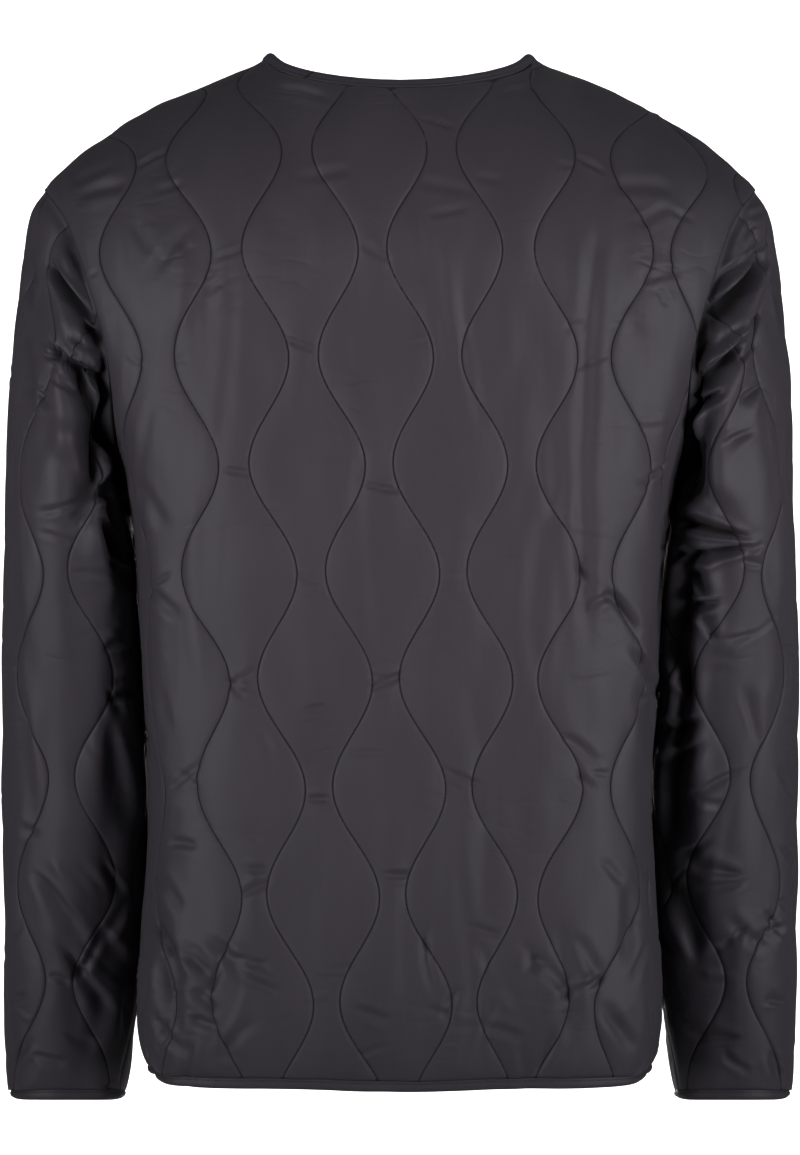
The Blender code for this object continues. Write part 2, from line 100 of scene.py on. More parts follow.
sleeve = {
    "cuffZ": -0.7375,
    "joinZ": -0.36,          # the cap blends into the plain tube here
    "armpitSlope": 0.22,
    "capSlope": 0.48,
    "capPinch": 0.10,
    "capForward": 0.05,
    "clearance": 0.0035,
    "clearanceSoft": 0.002,
    "foldGain": 1.95,
    "seamCalm": 0.0065,
    "roomShare": 0.7,
    # heights, and how far each sleeve sinks beside the armhole there, behind
    "sinkLeft": ([-0.36, -0.32, -0.29, -0.25, -0.225, -0.212, -0.198, -0.185, -0.165, -0.15, -0.13, -0.11],
                 [0.006, 0.014, 0.018, 0.018, 0.015, 0.006, 0.012, 0.005, 0.004, 0.007, 0.009, 0.003]),
    "sinkRight": ([-0.36, -0.32, -0.29, -0.25, -0.235, -0.222, -0.205, -0.19, -0.175, -0.155, -0.13, -0.11],
                  [0.008, 0.016, 0.018, 0.018, 0.014, 0.010, 0.015, 0.012, 0.009, 0.005, 0.006, 0.003]),
    "sinkWidth": ([-0.29, -0.22, -0.16, -0.12], [0.026, 0.020, 0.011, 0.007]),
    "valley": 0.0010,        # its inner side falls back by this, behind
    "squareness": 0.34,      # the inner back quarter of a ring is fuller than an ellipse by this
    "cuffTilt": 0.12,        # the cuff rises towards the back by this slope
    "rest": 0.0050,          # and leans on the body by this, in front
    # heights, and how far the outer side stands out there
    "outerShift": ([-0.73, -0.71, -0.67, -0.60, -0.50, -0.45, -0.40, -0.36, -0.33, -0.31, -0.28, -0.25,
                    -0.20, -0.17, -0.14, -0.11],
                   [0.0022, 0.0015, 0.0005, 0.0000, 0.0010, 0.0016, 0.0024, 0.0021, 0.0014, 0, -0.001,
                    -0.0016, -0.0034, -0.0040, -0.0022, 0.0004]),
    "capRows": 140,
    "tubeRows": 200,
    "columns": 196,
    "formSteps": 1200,
    # height, inner x, outer x, middle y, half depth
    "sections": np.array([
        (-0.760, 0.1990, 0.2755, -0.057, 0.0440),
        (-0.725, 0.1955, 0.2775, -0.056, 0.0465),
        (-0.700, 0.1920, 0.2790, -0.054, 0.0490),
        (-0.660, 0.1865, 0.2800, -0.051, 0.0530),
        (-0.600, 0.1800, 0.2805, -0.046, 0.0580),
        (-0.540, 0.1765, 0.2800, -0.041, 0.0625),
        (-0.480, 0.1765, 0.2790, -0.035, 0.0670),
        (-0.420, 0.1785, 0.2775, -0.028, 0.0715),
        (-0.360, 0.1820, 0.2755, -0.020, 0.0765),
        (-0.300, 0.1860, 0.2725, -0.012, 0.0820),
    ]),
}

front = {
    "lap": 0.018,            # each front edge passes the middle by this
    "lapLift": 0.0052,       # the left front stands this far over the right one
    "lapRamp": 0.026,
    "placket": 0.030,        # the edge lies flatter over this width
}

binding = {
    "width": 0.0072,
    "neckLean": 0.55,        # share of the neck binding's width that leans inward, less at the shoulders
    "thickness": 0.0034,
    "sink": 0.0010,          # its middle lies this far under the cloth's face, at the neck half as far
    "over": 0.0006,          # it laps the cloth's edge by this
    "sides": 20,
    "spacing": 0.0020,
    "stitchRow": 0.0016,     # the edge stitching's distance from the seam
    "turnIn": 0.45,          # strips that hang down are narrower by this share where they turn
    "hides": 0.0032,         # the neck binding covers the cloth beside its seam over this width
    "jointX": 0.0647,        # the neck binding's cross seam, behind
    "cutWidth": 0.0105,      # what shows of the strip, with its turn
}


def hermite(t, start, leave, end, arrive):
    # a cubic from start to end with these slopes at its ends
    return ((1 + 2 * t) * (1 - t) ** 2 * start + t * (1 - t) ** 2 * leave
            + t * t * (3 - 2 * t) * end + t * t * (t - 1) * arrive)


def throughTable(table, column, at):
    # smooth curve through a column: cubic pieces with the slopes of the neighbours
    heights, values = table[:, 0], table[:, column]
    slopes = np.gradient(values, heights)
    at = np.clip(at, heights[0], heights[-1])
    low = np.clip(np.searchsorted(heights, at) - 1, 0, len(heights) - 2)
    step = heights[low + 1] - heights[low]
    t = (at - heights[low]) / step
    return hermite(t, values[low], step * slopes[low], values[low + 1], step * slopes[low + 1])


def smoothStep(t):
    # 3 t^2 - 2 t^3 between 0 and 1
    t = np.clip(t, 0, 1)
    return t * t * (3 - 2 * t)


def ramp(value, start, over):
    # rises smoothly from 0 at `start` to 1 a distance `over` further on
    return smoothStep((value - start) / over)


def bell(off, width):
    # e^(-(off / width)^2)
    return np.exp(-(off / width) ** 2)


def unit(vectors):
    # the same directions at length 1
    return vectors / np.maximum(np.linalg.norm(vectors, axis=-1, keepdims=True), 1e-12)


def superellipse(share, exponent):
    # height over the half width: (1 - share^n)^(1/n)
    return (1 - np.clip(np.abs(share), 0, 1) ** exponent) ** (1 / exponent)


def halfWidth(z):
    return throughTable(body["sections"], 1, z)


def halfDepth(z, behind):
    # the body's, behind its middle or in front of it
    return np.where(behind, throughTable(body["sections"], 2, z), throughTable(body["sections"], 3, z))


def ridge(x):
    # line where the top turns over: a parabola across the neck, then a slope that droops by a power
    kneeX, slope = body["kneeX"], body["shoulderSlope"]
    outward = np.maximum(np.abs(x) - kneeX, 0)
    inside = body["kneeZ"] + slope * (kneeX ** 2 - x * x) / (2 * kneeX)
    outside = body["kneeZ"] - slope * outward - body["shoulderDroop"] * outward ** body["droopPower"]
    return np.where(np.abs(x) < kneeX, inside, outside)


shoulderZ = float(ridge(body["shoulderX"]))
neckShare = body["neckX"] / body["shoulderX"]


def bodyDepth(x, z, side):
    # superellipse in plan times a superellipse that closes over the shoulders
    depth = halfDepth(z, side > 0)
    across = superellipse(x / halfWidth(z), body["roundness"])
    turned = np.clip((ridge(x) - z) / body["shoulderDepth"], 0, 1)
    return side * depth * across * superellipse(1 - turned, body["shoulderRound"])


def upperHeight(share):
    # z at this share of the way from the armpit to the shoulder
    return body["armpitZ"] + (shoulderZ - body["armpitZ"]) * share


def armholeX(z):
    # half width of a panel at the armhole, where the body's depth has fallen to a share of itself
    climb = np.clip((z - body["armpitZ"]) / (shoulderZ - body["armpitZ"]), 0, 1)
    reach = body["armholeDepth"] * np.sqrt(1 - (1 - climb) ** body["armholeRound"])
    return halfWidth(z) * (1 - reach ** body["roundness"]) ** (1 / body["roundness"])


def topLine(x, side):
    # the neck seam, a superellipse below the shoulder corner, then the shoulder seam
    where = "back" if side > 0 else "front"
    drop, bend, neckX = body[where + "NeckDrop"], body[where + "NeckRound"], body["neckX"]
    return np.where(np.abs(x) < neckX, ridge(neckX) - drop * superellipse(x / neckX, bend), ridge(x))


def lengths(points, axis):
    # distance run along an axis of a grid of points, 0 at its start
    step = np.linalg.norm(np.diff(points, axis=axis), axis=-1)
    run = np.cumsum(step, axis=axis)
    start = np.zeros_like(np.take(run, [0], axis=axis))
    return np.concatenate([start, run], axis=axis)


def climbShares(distances):
    # shares of the armhole's height at these shares of its seam's length
    climb = np.linspace(0, 1, 2001) ** 2
    z = upperHeight(climb)
    x = armholeX(z)
    run = lengths(np.stack([x, bodyDepth(x, z, 1), z], axis=1), 0)
    return np.interp(distances * run[-1], run, climb)


def overTheTop(depthBelow, reach):
    # extra cloth length from here down to where the body stands upright, for a turn of this reach
    rows, columns = 26, 320
    down = np.linspace(0, body["shoulderDepth"], columns + 1)
    reaches = np.linspace(0, 0.13, rows + 1)
    turn = superellipse(1 - down / body["shoulderDepth"], body["shoulderRound"])
    piece = np.hypot(np.diff(down), reaches[:, None] * np.diff(turn)) - np.diff(down)
    extra = np.pad(np.cumsum(piece[:, ::-1], axis=1)[:, ::-1], ((0, 0), (0, 1)))
    column = np.clip(depthBelow / down[-1], 0, 1) * columns
    row = np.clip(reach / reaches[-1], 0, 1) * rows
    i, j = np.minimum(row.astype(int), rows - 1), np.minimum(column.astype(int), columns - 1)
    a, b = row - i, column - j
    return ((1 - a) * (1 - b) * extra[i, j] + (1 - a) * b * extra[i, j + 1]
            + a * (1 - b) * extra[i + 1, j] + a * b * extra[i + 1, j + 1])


def widened(share, inner, width):
    # x of a column: in proportion up to the neck's corner, which lies at `inner`, then on to `width`
    return np.where(share <= neckShare, share / neckShare * inner,
                    inner + (share - neckShare) / (1 - neckShare) * (width - inner))


def panelForm(side, start):
    # one row per rise (-1 hem seam, 0 armpit, 1 top edge): x follows the top edge's x, widened to the
    # row's width, z runs between hem, armpit and top, and y is the body's depth there
    upper = np.linspace(0, 1, body["upperRows"] + 1)
    upper = body["evenHeight"] * upper + (1 - body["evenHeight"]) * climbShares(upper)
    rise = np.append(np.linspace(-1, 0, body["lowerRows"] + 1), upper[1:])[:, None]
    bend = np.linspace(math.asin(start / body["neckX"]), math.pi / 2, body["neckSteps"])
    beyond = 1 - (1 - np.linspace(0, 1, body["sideSteps"])) ** 3
    share = np.append(neckShare * np.sin(bend), (neckShare + (1 - neckShare) * beyond)[1:])[None]
    armpitZ, hemZ = body["armpitZ"], body["hemZ"]
    low, high = np.clip(rise + 1, 0, 1), np.clip(rise, 0, 1)
    inner = body["neckX"] / halfWidth(armpitZ)
    width = halfWidth(hemZ + (armpitZ - hemZ) * low)
    x = widened(share, inner * width, width)
    hem = (hemZ + binding["width"] + body["hemTilt"] * bodyDepth(x, np.full_like(x, hemZ), side)
           + body["hemRise"] * np.sin(math.pi * x / body["hemSpan"]) ** 2)
    z = hem + (armpitZ - hem) * low
    upperX = widened(share, body["neckX"], armholeX(upperHeight(high)))
    upperZ = armpitZ + (topLine(share * body["shoulderX"], side) - armpitZ) * high
    x = np.where(rise > 0, upperX, widened(share, inner * halfWidth(z), halfWidth(z)))
    z = np.where(rise > 0, upperZ, z)
    # cloth coordinates: p runs round the body from the middle, q up the cloth
    depth = halfDepth(z, side > 0)
    across = superellipse(x / halfWidth(z), body["roundness"])
    p = lengths(np.stack([x, depth * across], axis=-1), 1) + start
    q = z + overTheTop(ridge(x) - z, depth * across)
    return np.stack([x, bodyDepth(x, z, side), z, p, q], axis=-1)


def sleeveLevel(z):
    # inner x, outer x, middle y and half depth of the plain sleeve
    return [throughTable(sleeve["sections"], column, z) for column in range(1, 5)]


def sleeveRing(z, turn):
    # ellipse: turn 0 faces the body, 0.25 back, 0.5 out, 0.75 front; its inner back quarter is fuller,
    # with cos^e and sin^e where e falls from 1 to 1 - squareness
    inner, outer, middle, depth = sleeveLevel(z)
    cos, sin = np.cos(2 * math.pi * turn), np.sin(2 * math.pi * turn)
    power = 1 - sleeve["squareness"] * smoothStep(2 * np.clip(cos, 0, 1) * np.clip(sin, 0, 1) * 2)
    cos, sin = np.sign(cos) * np.abs(cos) ** power, np.sign(sin) * np.abs(sin) ** power
    x = (inner + outer) / 2 - (outer - inner) / 2 * cos
    tilt = sleeve["cuffTilt"] * ramp(-z, 0.655, 0.07)
    return np.stack(np.broadcast_arrays(x, middle + depth * sin, z + tilt * depth * sin), axis=-1)


def bodySideX(y, z):
    # where the body's side lies at this y and z
    return halfWidth(z) * superellipse(y / halfDepth(z, y > 0), body["roundness"])


def clearOfBody(points, ease):
    # a soft maximum of the point's x and the body's side keeps the sleeve outside the body
    x, y, z = points[..., 0], points[..., 1], points[..., 2]
    least = bodySideX(y, z) + sleeve["clearance"]
    soft = 0.5 * (x + least + np.sqrt((x - least) ** 2 + sleeve["clearanceSoft"] ** 2))
    moved = points.copy()
    moved[..., 0] = x + ease * (soft - x)
    return moved


def sleeveForm():
    # the cap: a cubic from each armhole point to the plain tube's ring, then the tube down to the cuff
    steps, rows = sleeve["formSteps"], sleeve["capRows"]
    turn = np.linspace(0, 1, steps + 1)
    climb = climbShares(1 - np.abs(2 * turn - 1))
    z = upperHeight(climb)
    x = armholeX(z)
    y = np.where(turn < 0.5, bodyDepth(x, z, 1), bodyDepth(x, z, -1))
    loop = np.stack([x, y, z], axis=-1)[None]
    join = sleeveRing(np.full_like(turn, sleeve["joinZ"]), turn)[None]
    below = sleeveRing(np.full_like(turn, sleeve["joinZ"] - 0.01), turn)[None]
    over = np.sin(math.pi * turn) ** 2
    slope = sleeve["armpitSlope"] + (sleeve["capSlope"] - sleeve["armpitSlope"]) * over
    pinch = -sleeve["capPinch"] * np.sin(2 * math.pi * turn) - sleeve["capForward"] * over
    leave = unit(np.stack([slope, pinch, -np.ones_like(turn)], axis=-1)[None])
    arrive = (below - join) / 0.01
    length = np.linalg.norm(join - loop, axis=-1, keepdims=True)
    t = np.linspace(0, 1, rows + 1)[:, None, None]
    cap = hermite(t, loop, length * leave, join, length * arrive)
    cap = clearOfBody(cap, smoothStep(2 * t[..., 0]))
    tubeZ = np.linspace(sleeve["joinZ"], sleeve["cuffZ"] + binding["width"], sleeve["tubeRows"] + 1)[1:]
    tube = clearOfBody(sleeveRing(tubeZ[:, None], turn[None]), 1.0)
    points = np.concatenate([cap, tube])
    # q runs up the steepest way over the cloth; p runs round a level line from the middle of the back
    upright = np.linalg.norm(gridNormals(points, False)[..., :2], axis=-1)
    climbed = np.abs(np.diff(points[..., 2], axis=0)) / np.clip(upright[1:], 0.3, 1)
    q = np.pad(np.cumsum(climbed, axis=0), ((1, 0), (0, 0)))
    q = sleeve["joinZ"] + q[[rows]] - q
    p = lengths(points, 1)
    p = p - p[:, [steps // 4]]
    levels = np.linspace(sleeve["joinZ"], shoulderZ, 161)
    high = points[rows::-1]
    level = np.stack([[np.interp(levels, high[:, k, 2], high[:, k, j]) for k in range(len(turn))]
                      for j in (0, 1)], axis=-1)
    run = lengths(level, 0)
    run = run - run[[steps // 2]] + p[rows, steps // 2]
    for k in range(len(turn)):
        p[:rows, k] = np.interp(points[:rows, k, 2], levels, run[k])
    return np.concatenate([points, p[..., None], q[..., None]], axis=-1)


quilting = {
    "amplitude": 0.0146,
    "halfWave": 0.0727,
    "phaseQ": -0.3615,       # a row of turning points lies here
    "loft": 0.0018,          # how far the padding stands out between the lines
    "soft": 0.0095,          # over which distance it rises
    "edgeSoft": 0.0050,
    "pull": 0.00055,         # the thread pulls the cloth in by this
    "pullWidth": 0.0009,
    "backLoft": 0.0018,      # the same on the inside
    "wall": 0.0022,          # the cloths and pressed wadding along a line
    "uneven": 0.9,           # the padding's thickness changes by this share of slow swells
    "swell": 0.0022,         # height of the cloth's own slow swells
    "puckerGain": 1.7,
    "puckerChance": 0.72,
    "crowd": 2.0,            # grid columns lie this much closer at a line
    "crowdWidth": 0.003,
    # the back's outer lines draw in towards the hem: side, from p, over, below q, by this share a metre
    "drawIn": [(1, 0.07, 0.12, -0.40, 0.56), (-1, 0.05, 0.06, -0.57, 1.0)],
    # centre at q = -0.4, lean for each metre up, side to which it turns at phaseQ
    "back": [(0.238, 0.020, 1), (0.189, 0.022, -1), (0.1310, 0.045, 1), (0.0825, 0.038, -1),
             (0.0343, 0.033, 1), (-0.0132, 0.029, -1), (-0.0606, 0.024, 1), (-0.1070, 0.007, -1),
             (-0.1570, -0.005, 1), (-0.203, 0.010, -1), (-0.250, 0.0, 1)],
    "front_left": [(0.036, 0.005, 1), (0.085, 0.01, -1), (0.134, 0.012, 1), (0.183, 0.016, -1),
                   (0.231, 0.020, 1)],
    "front_right": [(0.034, -0.006, -1), (0.083, -0.002, 1), (0.132, 0.004, -1), (0.181, 0.01, 1),
                    (0.229, 0.014, -1)],
    "sleeve_left": [(-0.109, 0.0, 1), (-0.0625, 0.0, -1), (-0.0155, 0.012, 1), (0.0315, 0.004, -1),
                    (0.079, 0.0, 1), (0.1265, 0.0, -1), (0.174, 0.0, 1), (0.2215, 0.0, -1),
                    (0.269, 0.0, 1)],
    "sleeve_right": [(-0.104, 0.02, 1), (-0.057, 0.03, -1), (-0.0085, 0.045, 1), (0.0345, 0.040, -1),
                     (0.082, 0.02, 1), (0.1295, 0.0, -1), (0.177, 0.0, 1), (0.2245, 0.0, -1),
                     (0.272, 0.0, 1)],
}


def lineOffsets(p, q, name):
    # each line is a wave: centre + lean (q + 0.4) + side x amplitude x cos(pi (q - phase) / half wave);
    # gives p minus the line, and the cosine of the line's slant
    if name == "back":
        p = p * (1 + sum(rate * ramp(side * p, start, over) * np.maximum(below - q, 0)
                         for side, start, over, below, rate in quilting["drawIn"]))
    table = np.array(quilting[name])
    shape = (-1,) + (1,) * p.ndim
    centre, lean, side = (table[:, k].reshape(shape) for k in range(3))
    angle = math.pi * (q[None] - quilting["phaseQ"]) / quilting["halfWave"]
    place = centre + lean * (q[None] + 0.4) + side * quilting["amplitude"] * np.cos(angle)
    slant = lean - side * quilting["amplitude"] * math.pi / quilting["halfWave"] * np.sin(angle)
    return p[None] - place, 1 / np.sqrt(1 + slant ** 2)


def regrid(form, name, columns, around):
    # sets the columns so that they crowd at the lines, with one column exactly on each line it meets
    offset, cosine = lineOffsets(form[..., 3], form[..., 4], name)
    near = np.min(np.abs(offset) * cosine, axis=0)
    # not so on a front below the neck's corner, where the rows climb along a line
    climbs = name.startswith("front") * ramp(form[..., 2], -0.26, 0.04)
    climbs = climbs * bell(form[..., 0] - body["neckX"], 0.018)
    density = 1 + quilting["crowd"] * (1 - climbs) * bell(near, quilting["crowdWidth"])
    step = np.linalg.norm(np.diff(form[..., :3], axis=1), axis=-1) * (density[:, 1:] + density[:, :-1])
    run = np.concatenate([np.zeros((len(form), 1)), np.cumsum(step, axis=1)], axis=1)
    change = (offset[:, :, 1:] > 0) != (offset[:, :, :-1] > 0)
    first = np.argmax(change, axis=2)
    meets = np.take_along_axis(change, first[..., None], axis=2)[..., 0]
    a = np.take_along_axis(offset, first[..., None], axis=2)[..., 0]
    b = np.take_along_axis(offset, first[..., None] + 1, axis=2)[..., 0]
    low = np.take_along_axis(run, first.T, axis=1).T
    high = np.take_along_axis(run, first.T + 1, axis=1).T
    place = low + (high - low) * a / np.where(meets, a - b, 1)
    even = np.linspace(0, 1, columns + 1)[:-1] if around else np.linspace(0, 1, columns)
    # rows that the armhole cuts short keep their columns in place, save for those near the cut
    total = run[:, -1]
    whole = total if around else np.where(np.arange(len(form)) > body["lowerRows"],
                                          np.maximum(total, total[body["lowerRows"]]), total)
    power = np.clip(0.85 * whole / np.maximum(whole - total, 1e-6), 5, 30)
    crossing = np.full(meets.shape, -1)
    grid = np.empty((len(form), len(even), form.shape[-1]))
    for row in range(len(form)):
        if name == "back":
            centred = 2 * even - 1
            lost = (1 + np.sign(centred) * np.abs(centred) ** power[row]) / 2
        else:
            lost = even ** power[row]
        share = even * whole[row] - (whole[row] - total[row]) * lost
        spots = share.copy()
        for line in np.nonzero(meets[:, row])[0]:
            nearest = int(np.argmin(np.abs(spots - place[line, row])))
            if 0 < nearest < len(even) - 1:
                share[nearest] = place[line, row]
                crossing[line, row] = nearest
        for k in range(form.shape[-1]):
            grid[row, :, k] = np.interp(share, run[row], form[row, :, k])
    return grid, crossing


def gridNormals(points, around):
    # unit cross product of the two grid directions
    if around:
        wide = np.concatenate([points[:, -1:], points, points[:, :1]], axis=1)
        across = np.gradient(wide, axis=1)[:, 1:-1]
    else:
        across = np.gradient(points, axis=1)
    return unit(np.cross(across, np.gradient(points, axis=0)))


def bodyNormals(points):
    # gradient of (|x| / half width)^n + (|y| / (depth x turn))^n, which is 1 on the body
    def level(x, y, z):
        turned = np.clip((ridge(x) - z) / body["shoulderDepth"], 0, 1)
        depth = halfDepth(z, y > 0) * np.maximum(superellipse(1 - turned, body["shoulderRound"]), 0.02)
        return (np.abs(x) / halfWidth(z)) ** body["roundness"] + (np.abs(y) / depth) ** body["roundness"]
    x, y, z = points[..., 0], points[..., 1], points[..., 2]
    slope = np.stack([level(x + a, y + b, z + c) - level(x - a, y - b, z - c)
                      for a, b, c in 0.0002 * np.eye(3)], axis=-1)
    slope[-2:] = slope[-3]
    return unit(slope)


def edgeDistance(points, around):
    # distance along the grid to the nearest edge of the piece, and the same without the lower edge
    up = lengths(points, 0)
    ends = [up, up[-1:] - up]
    sides = []
    if not around:
        across = lengths(points, 1)
        sides = [across, across[:, -1:] - across]
    top = ends[0] if around else ends[1]
    return np.min(ends + sides, axis=0), np.min([top] + sides, axis=0), top


# Creases in millimetres: from x, z to x, z, bow, half width, depth (a ridge where it is below 0)
creases = {
    "back": [
        (-132, -135, -126, -202, 0, 5, 1.6), (-126, -195, -122, -293, 0, 5.5, 1.8),
        (-123, -283, -127, -407, -2, 5, 1.6), (-119, -357, -133, -373, 0, 2.2, 1),
        (-138, -373, -161, -403, 2, 3.2, 2), (-158, -414, -176, -446, 1, 3, 2.2),
        (-111, -472, -132, -490, 1, 3, 1.4), (-119, -496, -132, -510, 0, 2.2, 1.2),
        (-118, -607, -135, -635, 0, 4, 1.4), (-154, -575, -154, -625, 2, 5, 1.8),
        (-139, -654, -157, -685, 0, 4.5, 1.6), (-107, -602, -114, -676, 3, 6, 1.6),
        (179, -124, 169, -145, 0, 3.5, 0.7), (145, -129, 166, -158, 0, 4, 0.8),
        (130, -173, 114, -162, 0, 2.6, 0.7), (220, -101, 189, -96, 0, 4, 1.4),
        (225, -93, 199, -83, 0, 3.5, 1), (-145, -99, -185, -101, 2, 4.5, 0.9),
        (-162, -125, -183, -112, 0, 3, 0.7), (-164, -163, -191, -157, 0, 2.8, 0.7),
        (-175, -169, -180, -181, 0, 2.5, 0.9), (145, -148, 148, -199, 0, 6, -0.9),
        (127, -138, 129, -192, 0, 6, 0.9), (154, -508, 137, -492, 0, 2.2, 1),
        (137, -508, 149, -496, 0, 2, 0.8), (143, -613, 125, -630, 1, 3, 1.2),
        (140, -644, 125, -658, 1, 3, 1.2), (137, -661, 143, -689, 0, 3.5, 1),
        (161, -441, 156, -467, 0, 3, 0.9), (168, -582, 160, -656, 3, 7, 1.8),
        (153, -622, 151, -689, 0, 6, 1.2), (-13, -98, -47, -105, 0, 3.5, 0.6),
        (67, -95, 34, -90, 0, 3.5, 0.6), (86, -29, 50, -38, 1, 2.8, 1.5), (-70, -34, -94, -27, 0, 2.6, 0.8),
        (-20, -121, -43, -117, 0, 2.4, 0.6), (-161, -441, -171, -488, 2, 4.5, 1),
        (-161, -555, -171, -568, 0, 2.2, 0.8), (172, -372, 150, -392, 1, 3.5, 1.4),
        (176, -300, 160, -330, 0, 4, 1.2), (118, -434, 104, -446, 0, 2.6, 1.1),
        (166, -566, 148, -590, 1, 3.5, 1.5), (158, -612, 146, -640, 0, 4, 1.4),
        (176, -470, 166, -500, 0, 3.5, 1.3), (146, -619, 128, -633, 0, 2.8, 1.6),
        (113, -621, 89, -630, 1, 3, 1.4), (101, -636, 83, -645, 0, 3, 1.3),
        (155, -545, 137, -547, 1, 3, 1.2), (106, -579, 89, -570, 0, 2.6, 1.2),
        (166, -600, 153, -621, 0, 3.4, 1.6), (140, -663, 125, -669, 0, 3, 1.3),
        (164, -627, 163, -681, 2, 5, 1.6), (-136, -556, -150, -572, 0, 3, 1.2),
        (-47, -600, -65, -606, 0, 2.6, 1.1), (-124, -640, -110, -650, 0, 2.8, 1.3),
        (-60, -668, -82, -676, 1, 3, 1.1), (30, -655, 8, -664, 0, 3, 1)],
    "sleeve_left": [
        (241, -150, 214, -190, 1, 4.1, 5.8), (233, -139, 212, -182, 0, 5, -2.4),
        (219, -191, 204, -204, 0, 2.6, 4.2), (232, -213, 200, -232, -1, 3.6, 6),
        (228, -203, 203, -222, 0, 5, -2.2), (243, -215, 232, -213, 0, 2.6, 2.8),
        (240, -203, 232, -213, 0, 2.4, 2.2), (228, -220, 203, -270, 3, 6.7, 7.2),
        (208, -302, 203, -262, 0, 6.3, 6.5), (222, -330, 210, -298, 0, 6, 2.4),
        (250, -236, 240, -247, 0, 2.6, 1.4), (198, -292, 188, -350, 0, 5.2, 4.4),
        (210, -312, 189, -302, 0, 5, 2.8), (204, -325, 188, -353, 0, 4.4, 3.8),
        (199, -353, 184, -370, 0, 4, 2.4), (204, -415, 188, -408, 0, 3, 1.4),
        (199, -450, 178, -443, 0, 4, 1.8), (202, -443, 192, -460, 0, 2.2, 1.2),
        (253, -572, 224, -612, 2, 4.5, 1.9), (242, -561, 221, -591, 1, 5, -1),
        (236, -622, 204, -668, 1, 3.4, 2.3), (227, -621, 199, -657, 0, 6, -0.9),
        (206, -563, 192, -588, 0, 3, 1.4), (210, -608, 189, -646, 0, 6, 1.3),
        (193, -663, 188, -691, 0, 4, 1.4), (260, -194, 256, -256, 0, 6, 1),
        (256, -111, 258, -174, 0, 5, 1.2), (267, -312, 265, -408, 0, 7, 1), (262, -450, 258, -532, 0, 8, 1),
        (235, -684, 214, -692, 0, 3, 0.8), (256, -699, 235, -705, 0, 3, 0.8),
        (212, -262, 206, -318, 0, 11, 2.6), (200, -470, 190, -540, 0, 7, 2)],
    "sleeve_right": [
        (255, -132, 225, -156, -1, 2.6, 2.8), (251, -143, 211, -189, -2, 5.2, 7.5),
        (247, -136, 212, -178, 0, 4, -2), (233, -205, 201, -238, 0, 5.5, 7),
        (240, -193, 208, -220, 0, 5, -2.6), (249, -181, 238, -196, 0, 3, 2.2),
        (219, -239, 198, -249, 0, 3, 5), (196, -256, 191, -308, 0, 6.7, 6.2),
        (212, -250, 196, -312, 0, 6.7, 5), (233, -244, 248, -233, 0, 3, 1.8),
        (220, -276, 241, -265, -2, 3, 1.4), (187, -326, 235, -337, 1, 3.3, 5.2),
        (238, -344, 185, -349, -1, 3.1, 4.5), (237, -340, 200, -340, 0, 3, -1.6),
        (195, -331, 185, -321, 0, 3, 3.8), (200, -361, 211, -378, 0, 3.7, 4.2),
        (199, -385, 218, -381, 0, 3, 4), (207, -389, 216, -408, 0, 3.4, 2.2),
        (187, -408, 200, -450, 0, 5.2, 4.2), (236, -353, 248, -357, 0, 2.6, 1),
        (225, -408, 243, -403, 0, 2.4, 1), (179, -474, 207, -465, 0, 6, 2.6),
        (181, -498, 207, -481, 0, 5, 2), (200, -519, 238, -498, -2, 3, 1.2),
        (238, -443, 248, -481, 0, 3, 1.2), (200, -565, 236, -572, 0, 3.4, 1.6),
        (207, -582, 240, -576, 0, 3, 1.2), (185, -574, 207, -629, -2, 8, 2.8),
        (193, -560, 215, -548, 0, 3, 1.4), (265, -498, 273, -519, 0, 4, 1.6),
        (266, -591, 272, -599, 0, 3, 1.2), (207, -686, 238, -688, 0, 3, 1.2),
        (226, -622, 241, -608, 0, 3, 1.4), (255, -615, 270, -608, 0, 3, 1.2),
        (256, -660, 270, -665, 0, 3, 1.2), (262, -139, 268, -194, 0, 5, 1), (266, -256, 269, -325, 0, 6, 1),
        (241, -115, 254, -109, 0, 2.6, 1), (200, -345, 190, -410, 0, 6.7, 5),
        (196, -420, 186, -560, 0, 5.9, 3.8)],
    "front_left": [
        (186, -196, 150, -262, 3, 6, 2), (196, -232, 166, -280, 2, 4.5, 1.6),
        (176, -300, 140, -345, 2, 4, 1.4), (150, -140, 170, -110, 0, 4, 1.2),
        (120, -330, 124, -470, 2, 6, 1.4), (168, -420, 140, -452, 1, 3, 1.4),
        (70, -470, 92, -488, 0, 2.4, 0.9), (164, -580, 160, -650, 2, 6, 1.6),
        (60, -640, 66, -690, 0, 4, 1.2), (120, -620, 112, -688, 2, 5, 1.4),
        (40, -205, 66, -196, 0, 2.6, 0.8), (95, -250, 112, -268, 0, 2.4, 0.8)],
    "front_right": [
        (190, -190, 146, -258, 2, 6, 2), (194, -240, 160, -292, 2, 5, 1.7),
        (176, -330, 146, -372, 2, 4, 1.4), (140, -120, 168, -100, 0, 4, 1.2),
        (132, -300, 128, -440, 2, 6, 1.4), (166, -470, 142, -496, 1, 3, 1.4),
        (64, -400, 88, -412, 0, 2.4, 0.9), (166, -590, 158, -664, 2, 6, 1.6),
        (96, -630, 100, -690, 0, 4, 1.2), (132, -600, 118, -680, 2, 5, 1.4),
        (50, -300, 74, -288, 0, 2.6, 0.8), (100, -200, 118, -222, 0, 2.4, 0.8)],
}


